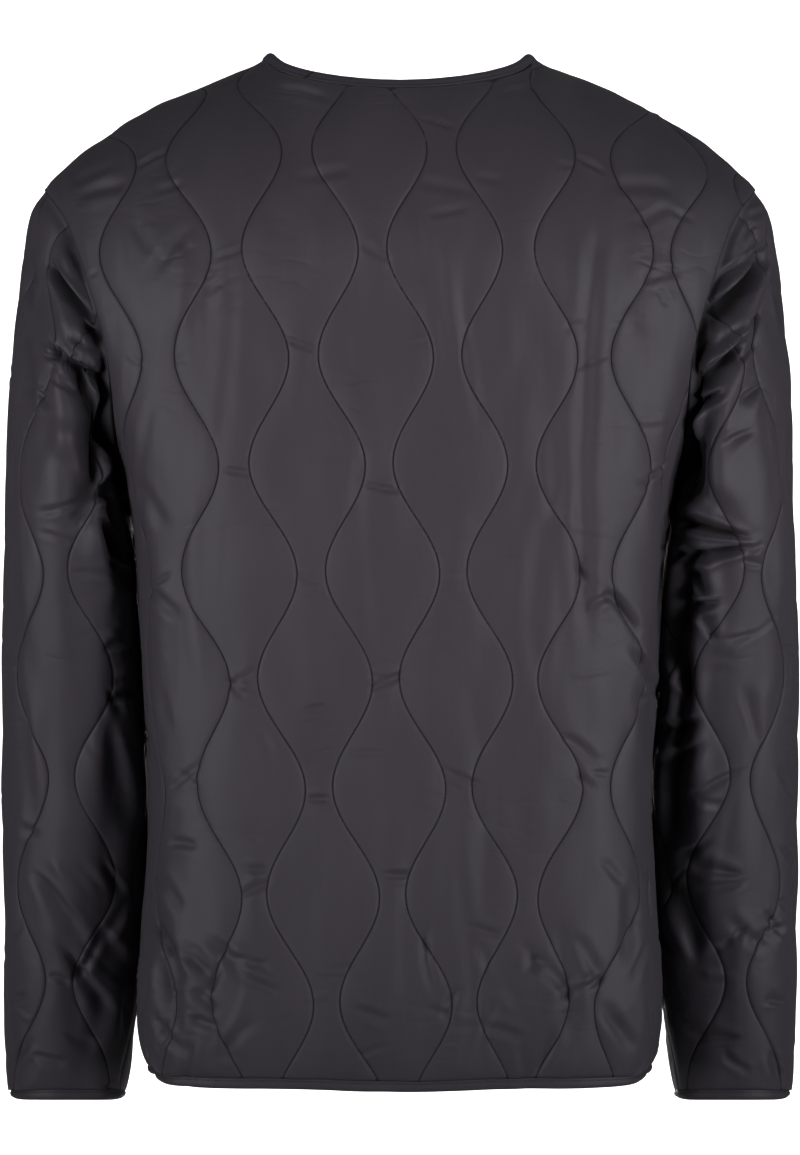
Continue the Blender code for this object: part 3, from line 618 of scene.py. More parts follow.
# Small creases strewn by number: count, range of heights, longest, slant and its spread in degrees,
# half width, greatest depth
strays = {
    "body": [(26, -0.68, -0.08, 0.150, 90, 9, 0.0048, 0.0013),
             (60, -0.70, -0.06, 0.026, 10, 50, 0.0022, 0.0014),
             (46, -0.705, -0.62, 0.045, 90, 50, 0.0032, 0.0026)],
    "sleeve": [(60, -0.71, -0.12, 0.034, 8, 45, 0.0023, 0.0018),
               (22, -0.71, -0.14, 0.120, 90, 12, 0.0045, 0.0013),
               (20, -0.715, -0.60, 0.050, -35, 40, 0.0034, 0.0026)],
}


def creasePush(across, up, table, taper=0.0, skew=0.0):
    # a bell-shaped trough along a bowed line with two low lips, fading at its ends; with taper it
    # narrows towards its outer end, with skew its side towards the middle is steeper
    push = np.zeros_like(across)
    for x1, z1, x2, z2, bow, width, depth in np.array(table, float) / 1000:
        length = math.hypot(x2 - x1, z2 - z1)
        along = ((across - x1) * (x2 - x1) + (up - z1) * (z2 - z1)) / length ** 2
        off = ((across - x1) * (z2 - z1) - (up - z1) * (x2 - x1)) / length
        outward = np.clip(along if x2 > x1 else 1 - along, 0, 1)
        off = off - 4 * bow * along * (1 - along)
        inward = np.tanh(off / width) * np.sign(z1 - z2)
        off = np.abs(off) / (width * (1 + taper * (0.5 - outward)) * (1 - skew * inward))
        ends = ramp(along, -0.15, 0.4) * ramp(-along, -1.15, 0.4)
        push += depth * ends * (0.35 * np.exp(-(off - 1.9) ** 2) - np.exp(-off ** 2))
    return push


def puckers(p, q, name, chance, rng):
    # short creases across the narrow places between lines, most of them near level
    table = np.array(quilting[name])
    rows = quilting["phaseQ"] + quilting["halfWave"] * np.arange(-5, 6)
    made = []
    for number, level in enumerate(rows):
        turned = -1 if number % 2 == 0 else 1
        for (centre, lean, side), (nextCentre, nextLean, _) in zip(table[:-1], table[1:]):
            narrow = side * turned * np.sign(nextCentre - centre) > 0
            draws = rng.random(8)
            if not narrow or draws[0] > chance:
                continue
            middle = (centre + nextCentre) / 2 + (lean + nextLean) / 2 * (level + 0.4)
            middle += 0.006 * (draws[1] - 0.5)
            high = level + 0.040 * (draws[2] - 0.5)
            reach = 0.005 + 0.007 * draws[3]
            tilt = 1.3 * (draws[4] - 0.5)
            made.append((middle - reach, high - tilt * reach, middle + reach, high + tilt * reach,
                         0.002 * (draws[5] - 0.5), 0.0015 + 0.0012 * draws[6], 0.0006 + 0.0008 * draws[7]))
    return creasePush(p, q, np.array(made) * 1000)


def strayCreases(p, q, stray, rng):
    # small creases strewn over the cloth, each with its own place, length, slant, width and depth
    count, lowest, highest, longest, slant, spread, width, depth = stray
    draw = rng.random((8, count))
    middleP = p.min() + (p.max() - p.min()) * draw[0]
    middleQ = lowest + (highest - lowest) * draw[1]
    reach = longest * (0.3 + 0.7 * draw[2]) / 2
    slant = np.radians(slant + spread * (2 * draw[3] - 1))
    width = width * (0.7 + 0.6 * draw[4])
    depth = depth * (0.3 + 0.7 * draw[5]) * np.where(draw[6] < 0.3, -0.7, 1)
    table = np.stack([middleP - reach * np.cos(slant), middleQ - reach * np.sin(slant),
                      middleP + reach * np.cos(slant), middleQ + reach * np.sin(slant),
                      0.15 * reach * (2 * draw[7] - 1), width, depth], axis=1)
    return creasePush(p, q, table * 1000)


def drape(p, q, rng):
    # slow uneven swells, long up the cloth and short across it: a sum of sines of random direction
    swell = np.zeros_like(p)
    for _ in range(10):
        acrossRate = 2 * math.pi / rng.uniform(0.030, 0.110) * rng.choice([-1, 1])
        upRate = 2 * math.pi / rng.uniform(0.12, 0.45)
        swell += rng.uniform(0.4, 1.0) * np.sin(acrossRate * p + upRate * q + rng.uniform(0, 6.28))
    return swell / 10


def smoothLess(value, most):
    # a rounded minimum of two positive numbers
    value, most = np.maximum(value, 1e-6), np.maximum(most, 1e-6)
    return (value ** -4 + most ** -4) ** -0.25


def freeOfCap(z):
    # sleeve and body don't limit each other beside the cap
    return 0.05 * ramp(z, -0.33, 0.05)


def roomToSleeve(points):
    # how far a point of the body lies from the plain sleeve beside it
    x, y, z = points[..., 0], points[..., 1], points[..., 2]
    level = np.minimum(z, sleeve["joinZ"])
    inner, outer, middle, depth = sleeveLevel(level)
    share = (y - middle) / depth
    face = (inner + outer) / 2 - (outer - inner) / 2 * superellipse(share, 2)
    face = np.maximum(face, bodySideX(y, z) + sleeve["clearance"])
    return np.where(np.abs(share) < 1, face - np.abs(x), 0.05) + freeOfCap(z)


def sleevePush(name, points, normals, seam):
    # how far a sleeve's cloth stands out: its own creases behind and the other sleeve's ahead, its inner
    # side lower behind and leaning on the body ahead; and how far it sinks beside the armhole
    x, z = points[..., 0], points[..., 2]
    outward, backward = normals[..., 0], normals[..., 1]
    other = "sleeve_right" if name == "sleeve_left" else "sleeve_left"
    push = ramp(backward, 0.05, 0.4) * creasePush(x, z, creases[name], 0.9, 0.4)
    push += 0.8 * ramp(-backward, 0.05, 0.4) * creasePush(x, z + 0.012, creases[other], 0.9, 0.4)
    push *= sleeve["foldGain"]
    inner = ramp(-outward, -0.1, 0.5) * ramp(backward, 0.05, 0.3)
    push -= sleeve["valley"] * inner * ramp(seam, 0.02, 0.04) * ramp(z, -0.70, 0.06)
    push += np.interp(z, *sleeve["outerShift"]) * ramp(outward, 0.3, 0.5)
    rests = ramp(-outward, 0.1, 0.5) * ramp(-backward, 0.02, 0.2)
    lean = sleeve["rest"] * (1 + 2.8 * bell(z + 0.335, 0.050))
    push += lean * rests * ramp(seam, 0.01, 0.02) * ramp(z, -0.68, 0.05)
    sink = np.interp(z, *sleeve["sinkLeft" if name == "sleeve_left" else "sinkRight"])
    ditch = bell(seam, np.interp(z, *sleeve["sinkWidth"])) * (1 - np.exp(-seam / 0.0022))
    return push, sink * ramp(backward, -0.1, 0.4) * ditch * ramp(z, -0.36, 0.06)


def shapeCloth(name, form, columns, around, seed):
    # base: the form with its creases and swells; face: base + loft (1 - e^(-distance / soft)), which
    # falls to nothing at lines and seams; back: the same towards the inside
    rng = np.random.default_rng(seed)
    grid, crossing = regrid(form, name, columns, around)
    # at the neck the binding hides the seam's first millimetres, so its shadow reaches further there
    hidden = binding["hides"] * ramp(body["neckX"] - np.abs(grid[..., 0]), -0.002, 0.004)
    hidden = hidden * (grid[..., 2] > -0.2)
    base, p, q = grid[..., :3], grid[..., 3], grid[..., 4]
    if name == "front_left":
        past = (front["lap"] + 0.006 + front["lapRamp"] - base[..., 0]) / front["lapRamp"]
        base = base + (front["lapLift"] * smoothStep(past))[..., None] * bodyNormals(base)
    if name == "back":
        share = np.abs(base[..., 0]) / halfWidth(base[..., 2])
        bulge = ramp(share, 0.30, 0.50) * (1 - ramp(share, 0.86, 0.13))
        bulge *= ramp(-base[..., 2], 0.20, 0.10) * ramp(edgeDistance(base, False)[1], 0, 0.018)
        base = base + (body["sideBulge"] * bulge)[..., None] * bodyNormals(base)
    normals = gridNormals(base, True) if around else bodyNormals(grid)
    offset, cosine = lineOffsets(p, q, name)
    distance = np.min(np.abs(offset) * cosine, axis=0)
    edge, seam, top = edgeDistance(base, around)
    x, y, z = base[..., 0], base[..., 1], base[..., 2]
    if around:
        push, ditch = sleevePush(name, base, normals, seam)
        room = x - bodySideX(y, z) + freeOfCap(z)
    else:
        push = body["foldGain"] * creasePush(x, z, creases[name])
        ditch = 0
        room = roomToSleeve(base)
    kind = sleeve if around else body
    calm = 1 - 0.8 * ramp(normals[..., 0], 0.65, 0.3) if around else 1
    for stray in strays["sleeve" if around else "body"]:
        push += calm * strayCreases(p, q, stray, rng)
    push += quilting["puckerGain"] * puckers(p, q, name, quilting["puckerChance"], rng)
    push += quilting["swell"] * drape(p, q, rng)
    push = push * (1 - bell(seam, kind["seamCalm"])) - ditch
    uneven = 1 + quilting["uneven"] * drape(p * 1.7, q * 3.0, rng)
    rise = (1 - np.exp(-distance / quilting["soft"])) * (1 - np.exp(-edge / quilting["edgeSoft"]))
    if name.startswith("front"):
        rise *= 0.12 + 0.88 * ramp(p - p[:, :1], 0.012, front["placket"])
        push *= ramp(p - p[:, :1], 0, front["placket"])
    if not around:
        stand = body["shoulderStand"] * ramp(np.abs(x) - body["neckX"], -0.008, 0.008)
        stand += body["neckStand"] * bell(np.abs(x) - body["neckX"], 0.006)
        base = base + (stand * bell(top, 0.02))[..., None] * normals
    pull = quilting["pull"] * bell(distance, quilting["pullWidth"])
    puff = smoothLess(quilting["loft"] * uneven * rise + np.maximum(push, 0),
                      np.maximum(room - 0.0008, 0.0004) * kind["roomShare"]) + np.minimum(push, 0)
    face = base + (puff - pull * smoothStep(edge / 0.004))[..., None] * normals
    depth = quilting["wall"] + quilting["backLoft"] * rise - np.clip(push, -0.02, 0.001)
    if not around:
        depth += 1.5 * bridged(base, normals)
    back = base - depth[..., None] * normals
    # painted shade: the material darkens the cloth where a crease sinks deeper than 3 mm
    paintedFoldShade = np.clip((-push - 0.0030) / 0.0065, 0, 1)
    # the distance also runs to the panel's edge, so the material paints shade along the seam's ditch
    return {"name": name, "around": around, "paintedFoldShade": paintedFoldShade, "normals": normals, "p": p, "q": q,
            "base": base + np.minimum(push, 0)[..., None] * normals, "face": face, "back": back,
            "distance": np.minimum(distance, np.maximum(edge - hidden, 0) + 0.0001), "crossing": crossing}


def bridged(points, normals):
    # how far the coarse inner grid's diagonals would stand outside the cloth between its points
    corner = points[::2, ::2]
    middle, normal = points[1:-1:2, 1:-1:2], normals[1:-1:2, 1:-1:2]
    out = [np.sum(((one + two) / 2 - middle) * normal, axis=-1)
           for one, two in ((corner[:-1, :-1], corner[1:, 1:]), (corner[:-1, 1:], corner[1:, :-1]))]
    need = np.zeros(points.shape[:2])
    need[1:-1:2, 1:-1:2] = np.maximum(np.maximum(*out), 0)
    for _ in range(3):
        wide = np.pad(need, 1)
        need = np.max([wide[i:i + need.shape[0], j:j + need.shape[1]]
                       for i in range(3) for j in range(3)], axis=0)
    return need


def mirrorCloth(cloth):
    # the wearer's right side is shaped on the left and turned over, columns reversed to keep it facing out
    flip = np.array([-1, 1, 1])
    for key in ("base", "face", "back", "normals"):
        cloth[key] = (cloth[key] * flip)[:, ::-1]
    for key in ("p", "q", "distance", "paintedFoldShade"):
        cloth[key] = cloth[key][:, ::-1]
    crossing = cloth["crossing"]
    cloth["crossing"] = np.where(crossing < 0, -1, cloth["p"].shape[1] - 1 - crossing)
    return cloth


def quadCorners(rows, columns, around):
    # corner numbers of a grid's quads, row by row
    row, column = np.meshgrid(np.arange(rows - 1), np.arange(columns if around else columns - 1),
                              indexing="ij")
    after = (column + 1) % columns
    return np.stack([row * columns + column, row * columns + after,
                     (row + 1) * columns + after, (row + 1) * columns + column], axis=-1).reshape(-1, 4)


def rimFaces(fine, coarse):
    # strip between an edge loop and one of half as many points
    start, middle = fine[0::2], fine[1::2]
    end = np.roll(start, -1)
    here, there = coarse, np.roll(coarse, -1)
    return np.concatenate([np.stack([middle, start, here], axis=1),
                           np.stack([middle, here, there], axis=1),
                           np.stack([end, middle, there], axis=1)])


def edgeLoops(rows, columns, around):
    # point numbers along a grid's edges: the two ends of a tube, or once round a panel
    number = np.arange(rows * columns).reshape(rows, columns)
    if around:
        return [number[0], number[-1, ::-1]]
    return [np.concatenate([number[0, :-1], number[:-1, -1], number[-1, :0:-1], number[:0:-1, 0]])]


def makeMesh(name, points, faceLists, material, uvs=None, values=None):
    mesh = bpy.data.meshes.new(name)
    sizes = np.concatenate([np.full(len(faces), faces.shape[1]) for faces in faceLists])
    corners = np.concatenate([faces.reshape(-1) for faces in faceLists])
    mesh.vertices.add(len(points))
    mesh.vertices.foreach_set("co", np.ascontiguousarray(points, np.float32).reshape(-1))
    mesh.loops.add(len(corners))
    mesh.loops.foreach_set("vertex_index", corners.astype(np.int32))
    mesh.polygons.add(len(sizes))
    mesh.polygons.foreach_set("loop_start", np.append(0, np.cumsum(sizes)[:-1]).astype(np.int32))
    mesh.update(calc_edges=True)
    if uvs is not None:
        layer = mesh.uv_layers.new(name="cloth")
        layer.data.foreach_set("uv", np.ascontiguousarray(uvs, np.float32).reshape(-1))
    for key, array in (values or {}).items():
        mesh.attributes.new(key, "FLOAT", "POINT").data.foreach_set("value", array.astype(np.float32))
    mesh.shade_smooth()
    mesh.materials.append(material)
    piece = bpy.data.objects.new(name, mesh)
    bpy.context.scene.collection.objects.link(piece)
    return piece


def cornerUvs(p, q, faceLists):
    # each corner of each face takes its point's cloth coordinates
    corners = np.concatenate([faces.reshape(-1) for faces in faceLists])
    return np.stack([p[corners], q[corners]], axis=1)


def clothPiece(cloth):
    # face grid, back grid of every second row and column, and the rims between them
    around, name = cloth["around"], cloth["name"]
    face, back = cloth["face"], cloth["back"][::2, ::2]
    rows, columns = face.shape[:2]
    fewRows, fewColumns = back.shape[:2]
    outer = quadCorners(rows, columns, around)
    inner = quadCorners(fewRows, fewColumns, around)[:, ::-1] + rows * columns
    rims = np.concatenate([rimFaces(fine, coarse + rows * columns) for fine, coarse in
                           zip(edgeLoops(rows, columns, around), edgeLoops(fewRows, fewColumns, around))])
    p, q, distance, paintedFoldShade = (np.concatenate([cloth[key].reshape(-1), cloth[key][::2, ::2].reshape(-1)])
                            for key in ("p", "q", "distance", "paintedFoldShade"))
    faceLists = [outer, inner, rims]
    uvs = cornerUvs(p, q, faceLists)
    if around:
        # the last quads of a row run on past the seam instead of back to its start
        last = 2 * cloth["p"][:, -1] - cloth["p"][:, -2]
        number = np.arange(rows - 1) * columns + columns - 1
        uvs[number * 4 + 1, 0] = last[:-1]
        uvs[number * 4 + 2, 0] = last[1:]
    points = np.concatenate([face.reshape(-1, 3), back.reshape(-1, 3)])
    # painted shade: the material darkens the cloth near quilting lines, along seams and in deep creases by
    # these
    values = {"stitchAndSeamShade": distance * 1000, "paintedFoldShade": paintedFoldShade}
    return makeMesh(name, points, faceLists, materials["face"], uvs, values)


def pointsAt(places, run, points):
    # points at these distances along a path
    return np.stack([np.interp(places, run, points[:, k]) for k in range(3)], axis=1)


stitch = {"pitch": 0.0026, "length": 0.0019, "width": 0.00026, "height": 0.00022}


def stitchPoints(path, normals):
    # each stitch is a slim lozenge along the path: two tips and four points round its middle
    run = lengths(path, 0)
    count = max(int(run[-1] / stitch["pitch"]), 1)
    places = (np.arange(count) + 0.5) * stitch["pitch"]
    half = stitch["length"] / 2
    middle, start, end = (pointsAt(places + shift, run, path) for shift in (0.0, -half, half))
    normal = pointsAt(places, run, normals)
    side = unit(np.cross(end - start, normal))
    lift = middle + normal * stitch["height"] * 0.6
    return np.stack([start, lift + side * stitch["width"], lift + normal * stitch["height"],
                     lift - side * stitch["width"], lift - normal * stitch["height"], end], axis=1)


def stitchPiece(name, groups):
    # all stitches of a piece as one mesh
    points = np.concatenate(groups)
    lozenge = np.array([(0, 1, 2), (0, 2, 3), (0, 3, 4), (0, 4, 1),
                        (5, 2, 1), (5, 3, 2), (5, 4, 3), (5, 1, 4)])
    faces = (lozenge[None] + 6 * np.arange(len(points))[:, None, None]).reshape(-1, 3)
    return makeMesh(name, points.reshape(-1, 3), [faces], materials["thread"])


def lineStitches(cloth):
    # stitches along every stretch of a quilting line that has its own grid column
    groups = []
    rows = np.arange(len(cloth["face"]))
    for crossing in cloth["crossing"]:
        met = crossing >= 0
        breaks = np.nonzero(np.diff(met.astype(int)))[0] + 1
        for stretch in np.split(rows, breaks):
            if len(stretch) < 4 or not met[stretch[0]]:
                continue
            path = cloth["face"][stretch, crossing[stretch]]
            groups.append(stitchPoints(path, cloth["normals"][stretch, crossing[stretch]]))
    return groups


def evenPath(points, spacing, closed):
    # the same path with points at equal distances
    if closed:
        points = np.concatenate([points, points[:1]])
    run = lengths(points, 0)
    count = max(int(round(run[-1] / spacing)), 2)
    places = np.linspace(0, run[-1], count + 1)
    if closed:
        places = places[:-1]
    return pointsAt(places, run, points)


def smoothed(path, closed, rounds=6):
    # each point moves to the mean of itself and its neighbours, which takes out the seam's small kinks
    for _ in range(rounds):
        before, after = np.roll(path, 1, axis=0), np.roll(path, -1, axis=0)
        mean = (before + 2 * path + after) / 4
        if not closed:
            mean[0], mean[-1] = path[0], path[-1]
        path = mean
    return path


def bindingPiece(name, path, past, closed, seed, flare, joint):
    # a rounded strip carried along the seam, `past` pointing off the cloth's edge: its section has width
    # cos^0.72 and thickness sin^0.80, with a dent along the stitches; its outer half is thicker by
    # `flare`; its seam edge is darkened with painted shade, and a cross seam at the path's point `joint` is
    # dark
    rng = np.random.default_rng(seed)
    ahead = np.roll(path, -1, axis=0) - np.roll(path, 1, axis=0)
    if not closed:
        ahead[0], ahead[-1] = path[1] - path[0], path[-1] - path[-2]
    out = unit(np.cross(ahead, past))
    turn = 2 * math.pi * np.arange(binding["sides"]) / binding["sides"]
    width, thick, over = binding["width"], binding["thickness"], binding["over"]
    cos, sin = np.cos(turn), np.sin(turn)
    u = (width - over) / 2 + (width + over) / 2 * np.sign(cos) * np.abs(cos) ** 0.72
    v = thick / 2 * np.sign(sin) * np.abs(sin) ** 0.80
    dent = 0.00045 * bell(u - binding["stitchRow"], 0.0007) * np.sign(v)
    run = lengths(path, 0)
    ripple = sum(rng.uniform(0.3, 1.0) * np.sin(2 * math.pi * run / rng.uniform(0.007, 0.03)
                                                + rng.uniform(0, 6.28)) for _ in range(8)) / 8
    outerHalf = 1 + (v > 0)[None] * np.reshape(flare, (-1, 1))
    v = (v - dent)[None] * (1 + 0.10 * ripple[:, None]) * outerHalf
    sink = binding["sink"] * (0.5 if joint is not None else 1)
    shift = (0.0003 * ripple - sink)[:, None, None]
    side = np.abs(path[:, 0] - (path[:, 0].max() + path[:, 0].min()) / 2) / (np.ptp(path[:, 0]) / 2 + 1e-6)
    narrow = 1 - binding["turnIn"] * side ** 10 * (past[:, 2] < -0.9)
    points = (path[:, None] + (u[None, :] * narrow[:, None])[..., None] * past[:, None]
              + (v[..., None] + shift) * out[:, None])
    rows, columns = points.shape[:2]
    number = np.arange(rows * columns).reshape(rows, columns)
    if closed:
        number = np.concatenate([number, number[:1]])
    here, there = number[:-1], number[1:]
    faces = np.stack([here, np.roll(here, -1, axis=1), np.roll(there, -1, axis=1), there], axis=-1)
    flat = points.reshape(-1, 3)
    faceLists = [faces.reshape(-1, 4)]
    girth = np.arange(columns) * (2 * (width + thick) / columns)
    p, q = np.repeat(run, columns), np.tile(girth, rows)
    if not closed:
        flat = np.concatenate([flat, points[:1].mean(axis=1), points[-1:].mean(axis=1)])
        p, q = np.append(p, [0, run[-1]]), np.append(q, [0, 0])
        first, last = number[0], number[-1]
        ends = [np.stack([np.roll(first, -1), first, np.full(columns, rows * columns)], axis=1),
                np.stack([last, np.roll(last, -1), np.full(columns, rows * columns + 1)], axis=1)]
        faceLists.append(np.concatenate(ends))
    uvs = cornerUvs(p, q, faceLists)
    # painted shade along the binding's rim at its seam, and the dark cross seam at the joint
    seamShadeAndJoint = np.full(len(flat), 9.0)
    seamShadeAndJoint[:rows * columns] = np.tile(np.where((u < 0.0002) & (v[0] >= 0), 0.2, 9.0), rows)
    if joint is not None:
        across = (run[:, None] - run[joint] - 0.7 * u).reshape(-1) * 500
        seamShadeAndJoint[:rows * columns] = np.where(np.abs(across) < 3, across, seamShadeAndJoint[:rows * columns])
    piece = makeMesh(name, flat, faceLists, materials["trim"], uvs, {"stitchAndSeamShade": seamShadeAndJoint})
    row = path + binding["stitchRow"] * past + (thick / 2 * 0.86 - sink) * out
    if closed:
        row, out = np.concatenate([row, row[:1]]), np.concatenate([out, out[:1]])
    return piece, stitchPoints(row, out)


class Wire:
    # a node's output that takes Python's arithmetic
    def __init__(self, graph, socket):
        self.graph = graph
        self.socket = socket

    def math(self, operation, *others):
        node = self.graph.node("ShaderNodeMath", {"operation": operation},
                               dict(enumerate([self] + list(others))))
        return Wire(self.graph, node.outputs[0])

    def __add__(self, other):
        return self.math("ADD", other)

    __radd__ = __add__

    def __sub__(self, other):
        return self.math("SUBTRACT", other)

    def __mul__(self, other):
        return self.math("MULTIPLY", other)

    __rmul__ = __mul__


class Graph:
    # a material's node tree with its Principled shader
    def __init__(self, name, colour, constants):
        self.material = bpy.data.materials.new(name)
        self.material.use_nodes = True
        self.material.diffuse_color = (*colour, 1)
        self.tree = self.material.node_tree
        self.shader = self.tree.nodes["Principled BSDF"]
        self.shader.inputs["Base Color"].default_value = (*colour, 1)
        for socket, value in constants.items():
            self.shader.inputs[socket].default_value = value

    def node(self, kind, settings=None, sockets=None):
        made = self.tree.nodes.new(kind)
        for key, value in (settings or {}).items():
            setattr(made, key, value)
        for key, value in (sockets or {}).items():
            self.plug(made.inputs[key], value)
        return made

    def plug(self, socket, value):
        if isinstance(value, Wire):
            self.tree.links.new(value.socket, socket)
        else:
            socket.default_value = value

    def wire(self, node, output=0):
        return Wire(self, node.outputs[output])

    def noise(self, vector, scale, detail):
        return self.wire(self.node("ShaderNodeTexNoise", {}, {"Vector": vector, "Scale": scale,
                                                              "Detail": detail}), "Fac")

    def scaled(self, vector, x, y):
        return self.wire(self.node("ShaderNodeMapping", {}, {"Vector": vector, "Scale": (x, y, 1.0)}))

    def attribute(self, name):
        return self.wire(self.node("ShaderNodeAttribute", {"attribute_name": name}), "Fac")

    def feed(self, socket, value):
        self.plug(self.shader.inputs[socket], value)

    def bump(self, height, strength, distance):
        made = self.node("ShaderNodeBump", {}, {"Strength": strength, "Distance": distance,
                                                "Height": height})
        self.feed("Normal", self.wire(made))

    def mix(self, share, first, second):
        made = self.node("ShaderNodeMix", {"data_type": "RGBA"})
        self.plug(made.inputs["Factor"], share)
        self.plug(made.inputs[6], first)
        self.plug(made.inputs[7], second)
        return Wire(self, made.outputs[2])


fabric = {
    "dark": (0.041, 0.0362, 0.0445),
    "light": (0.052, 0.0460, 0.0560),
    # the thread's own dark, also used for painted shade in grooves, seam ditches and deep creases
    "threadAndShadeDark": (0.006, 0.0055, 0.0065),
    "roughness": 0.55,
    "threadsPerMetre": 2600,
}


def taffeta(name, tone):
    # plain weave from two crossed sines, slow sheen patches from noise; darker close to a stitch line,
    # partly the thread's own dark and partly painted groove shade, darker along seams and down in a deep
    # fold, where both are painted shade
    dark = tuple(tone * c for c in fabric["dark"])
    light = tuple(tone * c for c in fabric["light"])
    graph = Graph(name, light, {"Specular IOR Level": 0.26, "Sheen Weight": 0.06,
                                "Sheen Roughness": 0.5})
    uv = graph.wire(graph.node("ShaderNodeUVMap", {"uv_map": "cloth"}), "UV")
    parts = graph.node("ShaderNodeSeparateXYZ", {}, {"Vector": uv})
    rate = 2 * math.pi * fabric["threadsPerMetre"]
    weave = (graph.wire(parts, "X") * rate).math("SINE") * (graph.wire(parts, "Y") * rate).math("SINE")
    stretched = graph.scaled(uv, 1.0, 0.35)
    patches = graph.noise(stretched, 22.0, 3.0)
    crinkle = graph.noise(stretched, 75.0, 4.0)
    slubs = graph.noise(graph.scaled(uv, 1.0, 9.0), 240.0, 2.0)
    # closeness to a quilting line or a seam: the thread's own dark and painted groove shade at a line,
    # painted shade in a seam's ditch
    nearLine = graph.attribute("stitchAndSeamShade")
    seam = (nearLine * nearLine * -4.5).math("EXPONENT")
    # painted shade deep in creases, with a rougher surface there
    paintedFoldShade = graph.attribute("paintedFoldShade")
    colour = graph.mix(patches, (*dark, 1), (*light, 1))
    colour = graph.mix(seam * 0.97, colour, (*fabric["threadAndShadeDark"], 1))
    colour = graph.mix(paintedFoldShade * 0.85, colour, (*fabric["threadAndShadeDark"], 1))
    graph.feed("Base Color", colour)
    graph.feed("Roughness", fabric["roughness"] + 0.10 * (patches - 0.5) + 0.06 * (slubs - 0.5)
               + seam * 0.45 + paintedFoldShade * 0.3)
    bands = graph.noise(graph.scaled(uv, 1.0, 0.12), 55.0, 2.0)
    # short tucks lie where one noise passes its middle, and only where a slower one is high
    bend = (graph.noise(graph.scaled(uv, 0.6, 1.3), 38.0, 2.0) - 0.5) * 16.0
    some = ((graph.noise(uv, 16.0, 1.0) - 0.50) * 6.0).math("MAXIMUM", 0.0)
    tucks = (bend * bend * -1.0).math("EXPONENT") * some
    graph.bump(weave * 0.00003 + crinkle * 0.0012 + slubs * 0.00003 + bands * 0.0015
               - tucks * 0.0006, 0.5, 1.0)
    return graph.material


def threadMaterial():
    # dark twisted thread: fine slanted ribs on the object's own coordinates
    graph = Graph("thread", (0.012, 0.011, 0.013), {"Roughness": 0.6, "Specular IOR Level": 0.3})
    where = graph.wire(graph.node("ShaderNodeTexCoord"), "Object")
    ribs = graph.noise(where, 1800.0, 1.0)
    graph.feed("Base Color", graph.mix(ribs, (0.006, 0.0055, 0.0065, 1), (0.018, 0.017, 0.019, 1)))
    graph.bump(ribs, 0.3, 0.0001)
    return graph.material


def studMaterial():
    # black-coated metal, worn a little brighter in fine patches
    graph = Graph("stud_metal_black", (0.040, 0.040, 0.042), {"Metallic": 0.75})
    where = graph.wire(graph.node("ShaderNodeTexCoord"), "Object")
    patches, grain = graph.noise(where, 320.0, 4.0), graph.noise(where, 2400.0, 2.0)
    graph.feed("Base Color", graph.mix(patches, (0.020, 0.020, 0.021, 1), (0.060, 0.060, 0.062, 1)))
    graph.feed("Roughness", 0.28 + 0.18 * patches + 0.08 * grain)
    graph.bump(grain, 0.25, 0.0001)
    return graph.material


materials = {"face": taffeta("charcoal_taffeta", 1.0), "trim": taffeta("charcoal_binding", 0.95),
             "thread": threadMaterial(), "stud": studMaterial()}

print("shaping the cloth")
backHalf = panelForm(1, 0.0)
flip = np.array([-1, 1, 1, -1, 1])
backForm = np.concatenate([backHalf[:, :0:-1], backHalf * flip], axis=1)
frontForm = panelForm(-1, -(front["lap"] - binding["width"]))
armForm = sleeveForm()
panels = [("back", backForm, body["backColumns"]), ("front_left", frontForm, body["frontColumns"]),
          ("front_right", frontForm, body["frontColumns"]), ("sleeve_left", armForm, sleeve["columns"]),
          ("sleeve_right", armForm, sleeve["columns"])]
cloths = {}
for seed, (name, form, columns) in enumerate(panels, 1):
    shaped = shapeCloth(name, form, columns, name.startswith("sleeve"), seed)
    cloths[name] = mirrorCloth(shaped) if name.endswith("right") else shaped

# cut of what shows: width, length, area
cuts = {"back": (0.53, 0.755, 0.350), "front": (0.28, 0.755, 0.178), "sleeve": (0.405, 0.645, 0.210)}


def declare(piece, threads, node, slot, **sheet):
    # a sewn piece stands for its solid, and its stitches go with it
    for part in (piece, threads):
        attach(part, "root")
    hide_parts(node)


print("sewing the panels")
for name, shaped in cloths.items():
    piece = clothPiece(shaped)
    threads = stitchPiece(name + "_stitches", lineStitches(shaped))
    width, length, area = cuts[name.split("_")[0]]
    declare(piece, threads, name, "face_cloth", flat=(width, length), held="hung", area=area)

print("binding the edges")


def neckCut(cloth):
    # the part of a panel's top row that lies in the neck
    top = cloth["base"][-1]
    return top[np.abs(top[:, 0]) <= body["neckX"] + 1e-4]


down = np.array([0.0, 0.0, -1.0])
leftX = np.array([-1.0, 0.0, 0.0])
left, right, back = cloths["front_left"]["base"], cloths["front_right"]["base"], cloths["back"]["base"]
neckSeam = np.concatenate([left[-1, :1] + leftX * binding["width"], neckCut(cloths["front_left"]),
                           neckCut(cloths["back"])[1:-1], neckCut(cloths["front_right"]),
                           right[-1, -1:] - leftX * binding["width"]])
hemSeam = np.concatenate([left[0, :1] + leftX * binding["width"], left[0], back[0, 1:], right[0, 1:],
                          right[0, -1:] - leftX * binding["width"]])


